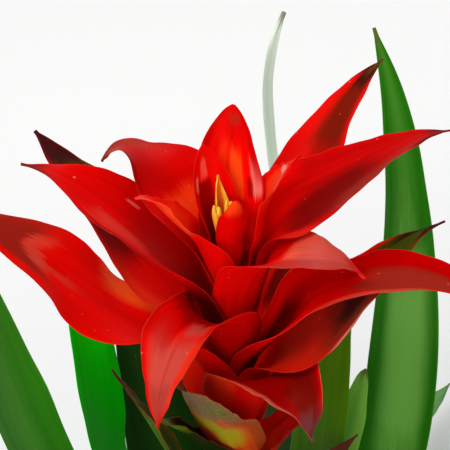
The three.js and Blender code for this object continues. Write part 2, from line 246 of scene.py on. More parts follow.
# %% [markdown]
# ## How a blade grows
# Every leaf and bract of this plant is built alike. Its lower end is a sheath that wraps round
# the stalk, and then it opens into a blade. So one recipe can draw them all: a midrib that
# climbs along the stalk and then leans out, and a width at each step. The recipe is the same
# as the solid model's, so the fine mesh lies where the solids lie; only its steps are shorter.

# %% Name the plant's sizes, in millimetres
CUP_HEIGHT = 320
STALK_RADIUS = 4.4
TIP_RADIUS = 2.6
STALK_TOP = CUP_HEIGHT - 13
STUMP_RADIUS = 15
STUMP_HEIGHT = 66
STUMP_EASE = 10
TOP_EASE = 60
SEAT_GAP = 0.5
FULL_WRAP = 1.7
BRACT_THICKNESS = 0.6
LEAF_THICKNESS = 0.8
SHEATH_SLOPE = dict(ground=42, stump_top=68, stalk=66, cup=76)
SLOPE_EASE = (20, 110)
RISE_EASE = (0.75, 1.35)
OPEN_EASE = (0.6, 1.5)
RIPPLE_EASE = (0.1, 0.35)
TIP_ROUNDNESS = 1.9
TIP_SHARE = 0.035
GROUND_SOFTNESS = 7
GENTLE = (0.5, 1.7, 0.6, 2.4)
USUAL = dict(widest=0.28, taper=1.15, turn=(0, 0), roll=(0, 0), wave=GENTLE, frill=0.35, ragged=0)
print("the star opens", CUP_HEIGHT, "mm above the ground")

# %% [markdown]
# A blade's rise, turn, roll and curl change smoothly from its foot to its tip. Each is given at
# a few stations, and a cubic curve runs through them.


# %% Helpers for smooth change
def smooth(a, b, x):
    t = np.clip((np.asarray(x, float) - a) / (b - a), 0, 1)
    return t * t * (3 - 2 * t)


def along(stations, t):
    values = np.asarray(stations, float)
    last = len(values) - 1
    x = np.clip(t, 0, 1) * last
    i = np.minimum(last - 1, np.floor(x)).astype(int)
    f = x - i
    at = [values[np.clip(i + k, 0, last)] for k in (-1, 0, 1, 2)]
    slope_in = (at[2] - at[0]) / 2
    slope_out = (at[3] - at[1]) / 2
    start = at[1] * (2 * f**3 - 3 * f**2 + 1) + slope_in * (f**3 - 2 * f**2 + f)
    end = at[2] * (3 * f**2 - 2 * f**3) + slope_out * (f**3 - f**2)
    return start + end


print("half way along (0, 10, 40):", float(along((0, 10, 40), 0.5)))


# %% The stalk's radius and the sheath's slope at a height
def axis_radius(z):
    foot = smooth(0, STUMP_HEIGHT + STUMP_EASE, z)
    top = smooth(CUP_HEIGHT - TOP_EASE, STALK_TOP, z)
    return STUMP_RADIUS + (STALK_RADIUS - STUMP_RADIUS) * foot + (TIP_RADIUS - STALK_RADIUS) * top


def sheath_rise(z):
    slope = SHEATH_SLOPE
    if z < STUMP_HEIGHT + STUMP_EASE:
        return slope["ground"] + (slope["stump_top"] - slope["ground"]) * z / STUMP_HEIGHT
    down = smooth(CUP_HEIGHT - SLOPE_EASE[0], CUP_HEIGHT - SLOPE_EASE[1], z)
    return slope["cup"] + (slope["stalk"] - slope["cup"]) * down


print("stalk radius at 100 mm:", round(float(axis_radius(100)), 2))
print("sheath's slope at 100 mm:", round(float(sheath_rise(100)), 1), "degrees")

# %% The midrib
MIDRIB_STEPS = 8
SAMPLE = dict(USUAL, z=200, az=0, clasp=20, length=100, width=30, sheath=20, thickness=0.6,
              rise=(60, 40, 20), curl=(150, 60, 40))


def midrib(blade, rows):
    steps = rows * MIDRIB_STEPS
    step = blade["length"] / steps
    s = np.arange(2 * steps + 1) * step / 2
    free = np.clip((s - blade["clasp"]) / (blade["length"] - blade["clasp"]), 0, 1)
    own = smooth(blade["clasp"] * RISE_EASE[0], blade["clasp"] * RISE_EASE[1], s)
    below = sheath_rise(blade["z"])
    rise = np.radians(below + (along(blade["rise"], free) - below) * own)
    azimuth = math.radians(blade["az"])
    heading = azimuth + np.radians(along(blade["turn"], free))
    level = np.cos(rise)
    tangent = np.stack([level * np.cos(heading), level * np.sin(heading), np.sin(rise)], 1)
    start = axis_radius(blade["z"]) + SEAT_GAP + blade["thickness"] / 2
    foot = np.array([start * math.cos(azimuth), start * math.sin(azimuth), blade["z"]])
    path = foot + np.concatenate([np.zeros((1, 3)), np.cumsum(tangent[1::2] * step, 0)])
    at_rows = slice(None, None, 2 * MIDRIB_STEPS)
    return path[::MIDRIB_STEPS], tangent[at_rows], heading[at_rows], s[at_rows], free[at_rows]


print("a sample blade's tip is at", np.round(midrib(SAMPLE, 40)[0][-1]), "mm")

# %% [markdown]
# The outline swells from the sheath to the widest place and draws out to a point. A few bracts
# have a torn, papery tip, so their outline can be nicked by an uneven amount on either side.

# %% The outline
TORN_FROM = (0.72, 0.9)
TEAR_DEPTH = 0.3
TEAR_PITCH = (171, 67, 303)


def width_at(blade, free):
    widest, sheath, width = blade["widest"], blade["sheath"], blade["width"]
    swelling = sheath + (width - sheath) * smooth(0, widest, free)
    x = np.clip((free - widest) / (1 - widest), 0, 1)
    share = np.maximum((1 - x**TIP_ROUNDNESS) ** blade["taper"], TIP_SHARE)
    return np.where(free < widest, swelling, width * share)


def nicks(blade, free, u):
    amount = blade["ragged"] * smooth(*TORN_FROM, free)
    short, shorter, fine = (free * pitch for pitch in TEAR_PITCH)
    tear = np.sin(short) * np.sin(shorter + 1) + 0.5 * np.sin(fine + 2 * np.sign(u))
    return 1 - amount * (TEAR_DEPTH + TEAR_DEPTH * tear)


print("its width half way out:", round(float(width_at(SAMPLE, 0.5)), 1), "mm")

# %% [markdown]
# Across each row the sheath is a part of a circle round the stalk, and the open blade is an arc
# of its own. The recipe slides from one to the other. A living margin is never quite even, so a
# small frill of three sine waves runs along it, with a phase of its own for each blade.

# %% The blade's middle surface
FRILL_WAVES = ((17, 1.0, 1), (31, 0.6, 2), (57, 0.35, 3))
FRILL_EASE = (0.12, 0.5)
FRILL_AT_MARGIN = 3
AZIMUTH_PHASE = 0.37
SIDE_PHASE = 1.3
LEAST_CURL = 0.02


def margin_frill(blade, free, u):
    phase = blade["az"] * AZIMUTH_PHASE + np.sign(u) * SIDE_PHASE
    waves = sum(size * np.sin(free * pitch + k * phase) for pitch, size, k in FRILL_WAVES)
    return blade["frill"] * waves * np.abs(u) ** FRILL_AT_MARGIN * smooth(*FRILL_EASE, free)


def open_rows(blade, point, tangent, heading, free, u):
    column = free[:, None]
    flat_side = np.stack([-np.sin(heading), np.cos(heading), 0 * heading], 1)
    flat_up = np.cross(tangent, flat_side)
    roll = np.radians(along(blade["roll"], free))[:, None]
    side = flat_side * np.cos(roll) + flat_up * np.sin(roll)
    inward = flat_up * np.cos(roll) - flat_side * np.sin(roll)
    size, cycles, one_phase, other_phase = blade["wave"]
    width = width_at(blade, free)[:, None] * nicks(blade, column, u)
    curl = np.maximum(LEAST_CURL, np.radians(along(blade["curl"], free)))[:, None]
    bend = u * curl / 2
    ripple = np.sin(2 * math.pi * cycles * column + np.where(u > 0, one_phase, other_phase))
    wave = size * ripple * u**2 * smooth(*RIPPLE_EASE, column)
    lift = width / curl * (1 - np.cos(bend)) + wave + margin_frill(blade, column, u)
    spread = point[:, None] + side[:, None] * (width / curl * np.sin(bend))[..., None]
    return spread + inward[:, None] * lift[..., None], width


def wrapped_rows(point, width, u):
    radius = np.hypot(point[:, 0], point[:, 1])[:, None]
    azimuth = np.arctan2(point[:, 1], point[:, 0])[:, None]
    angle = azimuth + u * np.minimum(FULL_WRAP, width / 2 / radius)
    height = np.broadcast_to(point[:, 2:3], angle.shape)
    return np.stack([radius * np.cos(angle), radius * np.sin(angle), height], 2)


def blade_surface(blade, rows, columns):
    point, tangent, heading, s, free = midrib(blade, rows)
    u = -np.cos(np.linspace(0, math.pi, columns + 1))[None, :]
    spread, width = open_rows(blade, point, tangent, heading, free, u)
    wrapped = wrapped_rows(point, width, u)
    opened = smooth(blade["clasp"] * OPEN_EASE[0], blade["clasp"] * OPEN_EASE[1], s)
    surface = wrapped + (spread - wrapped) * opened[:, None, None]
    half = blade["thickness"] / 2
    share = (surface[..., 2] - half) / GROUND_SOFTNESS
    lying = half + GROUND_SOFTNESS * np.exp(np.minimum(share, 1) - 1)
    surface[..., 2] = np.where(share < 1, lying, surface[..., 2])
    return surface, np.broadcast_to(u, surface.shape[:2]), s / blade["length"]


print("points in a coarse sample blade:", blade_surface(SAMPLE, 12, 6)[0].shape)

# %% [markdown]
# A blade has a body. Its section is a slim lens: full in the middle, and rounded off at the
# margins, where both faces share their points. That rounding catches some of the thin bright line
# that edges every bract, and the finish adds the rest as a painted highlight. The map of the
# surface keeps the place across the blade in its first value and the place along it in the
# second. The under face lies two units further over, so a material can tell the two faces apart.


# %% The blade's mesh
def smooth_mesh(name, points, faces, places):
    mesh = bpy.data.meshes.new(name)
    mesh.from_pydata(points * MM, [], faces)
    layer = mesh.uv_layers.new(name="blade")
    layer.data.foreach_set("uv", np.array(places, np.float32).ravel())
    mesh.shade_smooth()
    return mesh


def blade_mesh(name, surface, u, v, thickness):
    rows, columns = surface.shape[0], surface.shape[1]
    down, across = np.gradient(surface, axis=0), np.gradient(surface, axis=1)
    normal = np.cross(down, across)
    normal /= np.maximum(np.linalg.norm(normal, axis=2, keepdims=True), 1e-9)
    half = thickness / 2 * np.sqrt(np.clip(1 - u**4, 0, 1))[..., None]
    upper = (surface + normal * half).reshape(-1, 3)
    lower = (surface - normal * half)[:, 1:-1].reshape(-1, 3)
    top = np.arange(rows * columns).reshape(rows, columns)
    under = top.copy()
    under[:, 1:-1] = rows * columns + np.arange(rows * (columns - 2)).reshape(rows, -1)
    faces, places = [], []
    place = np.stack([(u + 1) / 2, np.broadcast_to(v[:, None], u.shape)], 2)
    for i in range(rows - 1):
        for j in range(columns - 1):
            ring = ((i, j), (i + 1, j), (i + 1, j + 1), (i, j + 1))
            faces.append([top[k] for k in ring])
            places.extend(place[k] for k in ring)
            faces.append([under[k] for k in reversed(ring)])
            places.extend(place[k] + (2, 0) for k in reversed(ring))
    for row, order in ((0, 1), (rows - 1, -1)):
        for j in range(columns - 1):
            ring = [top[row, j], top[row, j + 1], under[row, j + 1], under[row, j]][::order]
            ring = list(dict.fromkeys(ring))
            faces.append(ring)
            places.extend(place[row, j] for _ in ring)
    return smooth_mesh(name, np.concatenate([upper, lower]), faces, places)


def dress(node, mesh, material):
    mesh.materials.append(material)
    piece = add_object(mesh.name, mesh)
    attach(piece, "root")
    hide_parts(node)


def add_blade(node, blade, rows, columns, material):
    surface, u, v = blade_surface(blade, rows, columns)
    dress(node, blade_mesh(node + "_fine", surface, u, v, blade["thickness"]), material)


print("blade meshes can be made")

# %% [markdown]
# ## Shared effects
# Several finishes use the same few effects, so each is a node group that is built once. The
# first reads the blade's map: how far across, how far along, and which face.


# %% The blade's coordinates
def make_blade_place():
    tree, wires, _, out = new_group("Blade Place", {}, ["Across", "Along", "Edge", "Under"])
    split = wires.split(wires.node("ShaderNodeUVMap", uv_map="blade").outputs["UV"])
    under = wires.math("GREATER_THAN", split["X"], 1.5)
    one_face = wires.minus(split["X"], wires.times(under, 2.0))
    across = wires.minus(wires.times(one_face, 2.0), 1.0)
    edge = wires.math("ABSOLUTE", across)
    wires.fill(out, {"Across": across, "Along": split["Y"], "Edge": edge, "Under": under})
    return tree


BLADE_PLACE = make_blade_place()
print("group made:", BLADE_PLACE.name)

# %% [markdown]
# The next group draws what runs lengthwise in the tissue: fine veins, and broader streaks of
# lighter and darker colour. It is noise, pulled out along the blade.

# %% Lengthwise veins
VEIN_PULL = 0.035
DRIFT_PULL = 0.6
FINE_SCALE, BROAD_SCALE, DRIFT_SCALE = 1.6, 0.28, 0.05


def make_veins():
    inputs = {"Across": 0, "Along": 0, "Width": 30, "Length": 100, "Seed": 0}
    tree, wires, given, out = new_group("Lengthwise Veins", inputs, ["Fine", "Broad", "Drift"])
    x = wires.times(given["Across"], given["Width"])
    y = wires.times(given["Along"], given["Length"])

    def pulled(share):
        sockets = {"X": x, "Y": wires.times(y, share), "Z": given["Seed"]}
        return wires.node("ShaderNodeCombineXYZ", sockets).outputs[0]

    veins, drift = pulled(VEIN_PULL), pulled(DRIFT_PULL)
    wires.fill(out, {
        "Fine": wires.noise(veins, FINE_SCALE, 3.0, 0.6),
        "Broad": wires.noise(veins, BROAD_SCALE),
        "Drift": wires.noise(drift, DRIFT_SCALE),
    })
    return tree


VEINS = make_veins()
print("group made:", VEINS.name)

# %% [markdown]
# Close up, the skin is a fine pavement of cells with a few specks of dust and wax. The third
# group gives both, from the place in space, so they have the same size on every blade.

# %% Cells and specks
CELL_SCALE, SPECK_SCALE = 2600.0, 260.0
SPECK_EDGE = (0.05, 0.12)
PLACES_WITH_NO_SPECK = 0.72


def make_skin():
    tree, wires, given, out = new_group("Cells And Specks", {"Specks": 0.5}, ["Cells", "Specks"])
    place = wires.place()
    cells = wires.noise(place, CELL_SCALE, 2.0, 0.6)
    dots = wires.node("ShaderNodeTexVoronoi", {"Vector": place, "Scale": SPECK_SCALE}).outputs
    near = wires.ramp(dots["Distance"], *SPECK_EDGE, 1.0, 0.0)
    split = wires.node("ShaderNodeSeparateColor", {"Color": dots["Color"]}).outputs
    chosen = wires.math("GREATER_THAN", split["Red"], PLACES_WITH_NO_SPECK)
    few = wires.times(near, chosen)
    wires.fill(out, {"Cells": cells, "Specks": wires.times(few, given["Specks"])})
    return tree


SKIN = make_skin()
print("group made:", SKIN.name)

# %% [markdown]
# The last shared group marks out a patch on a blade. It fades in and out along the blade, keeps
# between two places across it, and its border is stirred by the veins, as the borders of colour
# in a leaf are. It serves for dark tips and coloured margins, and for painted light and shade: a
# painted glow at the feet, painted shade in the hollows, painted satin sheen and highlights.

# %% A patch on a blade
MIDDLE_OF_STIR = 1.5


def make_patch():
    ends = {"Start": 0, "Full": 0.1, "Fade": 0.9, "End": 1}
    sides = {"Low": -2, "High": 2, "Soft": 0.2, "Streaky": 0.1}
    inputs = {"Across": 0, "Along": 0, "Fine": 0.5, "Drift": 0.5, **ends, **sides}
    tree, wires, given, out = new_group("Patch", inputs, ["Mask"])
    stir = wires.plus(given["Fine"], wires.times(given["Drift"], 2.0))
    stir = wires.times(wires.minus(stir, MIDDLE_OF_STIR), given["Streaky"])
    place = wires.plus(given["Along"], stir)
    enters = wires.ramp(place, given["Start"], given["Full"])
    leaves = wires.ramp(place, given["Fade"], given["End"], 1.0, 0.0)
    across = wires.plus(given["Across"], stir)
    above = wires.ramp(across, wires.minus(given["Low"], given["Soft"]), given["Low"])
    below = wires.ramp(across, given["High"], wires.plus(given["High"], given["Soft"]), 1.0, 0.0)
    mask = wires.times(wires.times(enters, leaves), wires.times(above, below))
    wires.fill(out, {"Mask": mask})
    return tree


PATCH = make_patch()
print("group made:", PATCH.name)

# %% [markdown]
# ## The bract's finish
# A bract is waxy leaf tissue, full of red. Its colour is a red ground with faint lengthwise
# streaks, and over it a few patches: an olive or plum tip on the outer ones, which keep some of a
# leaf's green, and painted light and shade, such as a painted orange glow at the foot where light
# shines through, painted shade in the hollows and folds, and a painted satin sheen where the
# blade bends over. On the star's bracts, the thin pale lines along the margins are painted
# highlights. The wax reflects little and warm, so its shine is tinted.


# %% The bracts' colours
def tint(red, green, blue):
    shares = (red / 255, green / 255, blue / 255)
    return tuple(s / 12.92 if s < 0.04045 else ((s + 0.055) / 1.055) ** 2.4 for s in shares)


# DARK lays painted shade at the feet and in folds, and also the dark red of the tissue in a few spots,
# bands and margins. ORANGE lays a painted glow where light shines through, mostly low on the blade.
# SALMON lays the painted highlight along the margins and the pale tips of two bracts, and ROSE lays
# painted highlights as well as pale specks and scratches of the skin.
RED = tint(240, 6, 3)
BRIGHT = tint(252, 12, 4)
DEEP = tint(176, 1, 1)
DARK = tint(98, 1, 1)
ORANGE = tint(255, 84, 24)
SALMON = tint(226, 96, 78)
ROSE = tint(250, 160, 148)
BROWN = tint(150, 62, 42)
PLUM = tint(66, 24, 30)
OLIVE = tint(84, 74, 20)
print("the brightest red:", [round(value, 3) for value in BRIGHT])

# %% [markdown]
# A patch is written in one line: its colour, how strong it is, where it starts, is full, fades
# and ends along the blade, and between which places across it lies. Along runs from 0 at the
# foot to 1 at the tip, and across from -1 to 1. A patch with only two places along the blade
# runs on to the tip.

# %% Paint a patch
TO_THE_TIP = (2, 3)


def patch(colour, amount, along_blade, across=(-2, 2), soft=0.35, streaky=0.12, face=None):
    return dict(colour=colour, amount=amount, ends=(*along_blade, *TO_THE_TIP)[:4],
                across=across, soft=soft, streaky=streaky, face=face)


def lay_patch(wires, colour, spot, place, veins):
    start, full, fade, end = spot["ends"]
    low, high = spot["across"]
    where = dict(Across=place["Across"], Along=place["Along"])
    stirred = dict(Fine=veins["Fine"], Drift=veins["Drift"], Streaky=spot["streaky"])
    ends = dict(Start=start, Full=full, Fade=fade, End=end)
    sides = dict(Low=low, High=high, Soft=spot["soft"])
    mask = use(wires, PATCH, **where, **stirred, **ends, **sides)["Mask"]
    if spot["face"] == "under":
        mask = wires.times(mask, place["Under"])
    if spot["face"] == "upper":
        mask = wires.times(mask, wires.minus(1.0, place["Under"]))
    return wires.mix(wires.times(mask, spot["amount"]), colour, spot["colour"])


# margin: the pale line along each margin, a painted highlight on the star's bracts
BRACT_LOOK = dict(
    red=RED, deep=DEEP, streaks=0.3, patches=(), margin=SALMON, margin_amount=0.22,
    margin_from=0.965, shine=0.36, gloss=0.24, specks=0.35, scurf=0.0,
)
print("a bract's finish has", len(BRACT_LOOK), "values")

# %% Colour of a bract
STREAKS_FROM = (0.4, 0.66)
SCURF_GRAINS = (0.5, 0.66)
SCURF_FROM = (0.35, 0.7)
SCURF = tint(176, 160, 138)


def bract_colour(wires, look, place, veins, skin):
    broad = wires.ramp(veins["Broad"], *STREAKS_FROM, 0.0, look["streaks"])
    colour = wires.mix(broad, look["red"], look["deep"])
    colour = wires.mix(wires.times(veins["Fine"], look["streaks"]), colour, look["deep"])
    for spot in look["patches"]:
        colour = lay_patch(wires, colour, spot, place, veins)
    if look["scurf"]:
        grains = wires.ramp(skin["Cells"], *SCURF_GRAINS, 0.0, look["scurf"])
        outer = wires.ramp(place["Along"], *SCURF_FROM)
        colour = wires.mix(wires.times(grains, outer), colour, SCURF)
    # painted highlight: the pale line along the margin (on the stalk's bracts, their own maroon edge)
    edge = wires.ramp(place["Edge"], look["margin_from"], 1.0)
    colour = wires.mix(wires.times(edge, look["margin_amount"]), colour, look["margin"])
    return wires.mix(skin["Specks"], colour, ROSE)


print("a bract's colour has scurf on", [round(value, 2) for value in SCURF])

# %% The bract's material
CELL_RELIEF = 0.35
RELIEF_STRENGTH = 0.5
SEED_OF_AZIMUTH = 0.731
BRACT_RELIEF = 0.10
BRACT_FLESH = {
    "Specular Tint": (1.0, 0.2, 0.14), "Subsurface Weight": 0.5,
    "Subsurface Radius": (1.0, 0.1, 0.05), "Subsurface Scale": 2.5 * MM,
}


def read_blade(wires, specks, **sizes):
    place = use(wires, BLADE_PLACE)
    veins = use(wires, VEINS, Across=place["Across"], Along=place["Along"], **sizes)
    return place, veins, use(wires, SKIN, Specks=specks)


def blade_relief(wires, veins, skin, depth):
    height = wires.plus(veins["Fine"], wires.times(skin["Cells"], CELL_RELIEF))
    sockets = {"Height": height, "Strength": RELIEF_STRENGTH, "Distance": depth * MM}
    return wires.node("ShaderNodeBump", sockets).outputs["Normal"]


def bract_material(name, blade, changes):
    look = {**BRACT_LOOK, **changes}
    material, wires, surface = new_material(name + " skin")
    sizes = dict(Width=blade["width"] / 2, Length=blade["length"])
    seed = blade["az"] * SEED_OF_AZIMUTH
    place, veins, skin = read_blade(wires, look["specks"], Seed=seed, **sizes)
    uneven = wires.plus(wires.times(veins["Fine"], 0.12), wires.times(skin["Cells"], 0.10))
    wires.fill(surface, {
        "Base Color": bract_colour(wires, look, place, veins, skin),
        "Roughness": wires.plus(uneven, look["shine"]),
        "Normal": blade_relief(wires, veins, skin, BRACT_RELIEF),
        "Specular IOR Level": look["gloss"],
        **BRACT_FLESH,
    })
    return material


print("a bract's relief is", BRACT_RELIEF, "mm deep")

# %% [markdown]
# ## The star of bracts
# Nineteen bracts stand in a spiral, the innermost small and upright, the outer ones long and
# leaning out. Each row below is one bract: where its sheath leaves the stalk below the cup, its
# azimuth, its sizes, and its rise, turn, roll and curl at five stations.

# %% The inner bracts
STAR = {
    "heart": dict(z=-17, az=-71.5, clasp=6.5, length=32, width=15, sheath=12, widest=0.29, taper=0.6,
        rise=(82, 79, 76, 77, 96), turn=(0, 3, 0, 3, -1), roll=(0, 4, -5, -2, 0),
        curl=(151, 166, 156, 149, 140), frill=0.1),
    "inner_left": dict(z=-21, az=123, clasp=10.5, length=46.5, width=21.5, sheath=15, widest=0.29,
        taper=0.76, rise=(80, 76, 77, 76, 88), turn=(0, 1, -5, -5, -3), roll=(0, 0, -6, -8, -3),
        curl=(150, 161, 153, 119, 92), frill=0.15),
    "crest": dict(z=-25.6, az=84, clasp=7.5, length=61.5, width=27.5, sheath=13, widest=0.24,
        taper=0.58, rise=(76, 79, 64, 65, 68), turn=(0, -2, 3, -12, -13), roll=(0, 0, 4, -1, -4),
        curl=(146, 156, 91, 65, 61)),
    "inner_right": dict(z=-30.2, az=16, clasp=15.5, length=57.5, width=25.5, sheath=11, widest=0.26,
        taper=1.21, rise=(72, 72, 68, 58, 36), turn=(0, 1, -5, -6, -10), roll=(0, 0, -8, -11, -6),
        curl=(147, 126, 92, 61, 53), ragged=1),
    "small_left": dict(z=-33, az=205, clasp=24, length=61, width=20.5, sheath=25, widest=0.27,
        taper=1.24, rise=(70, 60, 52, 53, 14), turn=(0, -8, -13, -15, 5), roll=(0, 0, 3, 10, 15),
        curl=(159, 117, 75, 72, 65)),
    "back_left": dict(z=-36.4, az=139.5, clasp=18.5, length=82.5, width=34.5, sheath=25, widest=0.29,
        taper=1.08, rise=(70, 58, 39, 8, -63), turn=(0, 0, 0, 6, 40), roll=(0, 0, -7, 17, -11),
        curl=(150, 90, 49, 27, 22)),
    "right": dict(z=-40.2, az=10.5, clasp=28, length=106.5, width=42, sheath=20, widest=0.27,
        taper=1.22, rise=(57, 35, 24, 21, -1), turn=(0, -7, 6, 7, -2), roll=(0, 5, -9, -15, -11),
        curl=(161, 65, 48, 47, 42)),
    "right_low": dict(z=-46, az=-55, clasp=27.5, length=82.5, width=31.5, sheath=28, taper=1.42,
        rise=(60, 50, 25, -12, -49), turn=(0, 12, 23, 46, 34), roll=(0, -6, -3, -2, -21),
        curl=(160, 99, 44, 20, 11)),
    "back_right": dict(z=-50.6, az=44, clasp=22, length=113, width=27.5, sheath=25, taper=1.07,
        rise=(53, 41, 40, 39, 20), turn=(0, 0, 3, 0, -6), roll=(0, 0, 2, -7, 6),
        curl=(160, 110, 69, 60, 50)),
}
print("inner bracts:", len(STAR))

# %% The outer bracts
STAR.update({
    "left": dict(z=-54.5, az=179, clasp=22.5, length=106.5, width=35, sheath=30.5, widest=0.29,
        taper=1.24, rise=(66, 57, 49, 38, 20), turn=(0, 1, 1, -6, 9), roll=(0, -5, -13, -22, 4),
        curl=(169, 111, 66, 50, 43)),
    "front_left": dict(z=-60, az=-116, clasp=24, length=83.5, width=27.5, sheath=34.5, taper=1.2,
        rise=(56, 23, -33, -67, -84), turn=(0, -15, -7, -12, 2), roll=(0, 0, 7, 5, -3),
        curl=(164, 111, 68, 43, 31)),
    "right_long": dict(z=-67, az=-28.8, clasp=11.8, length=111.8, width=34.9, sheath=24.5, widest=0.31,
        taper=0.96, wave=(2.65, 1.37, -0.12, 1.58), rise=(55, 56, 31, -1, -16), turn=(0, 4, 12, 18, 7),
        roll=(0, 8, -2, 12, 6), curl=(156, 95, 55, 53, 28)),
    "left_rear": dict(z=-71, az=153.5, clasp=23, length=115, width=36.5, sheath=30, taper=1.08,
        rise=(60, 42, 53, 42, 43), turn=(0, 0, -2, -5, -11), roll=(0, -10, 0, 4, 0),
        curl=(170, 89, 69, 46, 42)),
    "left_low": dict(z=-78, az=192.5, clasp=23.5, length=135.5, width=35.5, sheath=36, widest=0.31,
        taper=0.98, wave=(3.2, 1.6, 0.4, 1.3), rise=(50, 39, 52, 50, 56), turn=(0, 0, 2, 3, -5),
        roll=(0, -5, -29, -35, -44), curl=(166, 85, 46, 34, 19)),
    "right_rear": dict(z=-82, az=-34.3, clasp=25.6, length=111.5, width=37.9, sheath=27.5, widest=0.27,
        taper=1.3, wave=(0.1, 1.7, 0.6, 2.4), rise=(45, 46, 46, 31, 20), turn=(0, 27, 51, 60, 42),
        roll=(0, 4, -6, -12, -10), curl=(160, 46, 41, 29, 21)),
    "front_right": dict(z=-89.6, az=-67.1, clasp=35.3, length=77, width=27.8, sheath=40.5, widest=0.29,
        taper=1.39, wave=(2.8, 1.85, 1.45, 1.75), rise=(45, 26, -7, -40, -56),
        turn=(0, 30, 12, -10, -12), roll=(0, -17, 21, 32, -4), curl=(172, 34, 50, 36, 20)),
    "rear_low_right": dict(z=-96.5, az=66, clasp=22, length=82, width=34, sheath=26,
        rise=(45, 36, 28, 20, 10), curl=(160, 100, 60, 40, 30)),
    "rear_low_left": dict(z=-103.5, az=136, clasp=28, length=79, width=32, sheath=34.5,
        rise=(44, 34, 28, 22, 14), curl=(160, 100, 60, 40, 30)),
    "front_low": dict(z=-108.5, az=-119.5, clasp=32.5, length=69, width=30, sheath=36, taper=1.13,
        rise=(62, 61, 69, 59, 50), turn=(0, -8, -17, -29, -33), roll=(0, -1, 3, 6, 3),
        curl=(167, 99, 87, 73, 51)),
})
print("bracts in the star's table:", len(STAR))
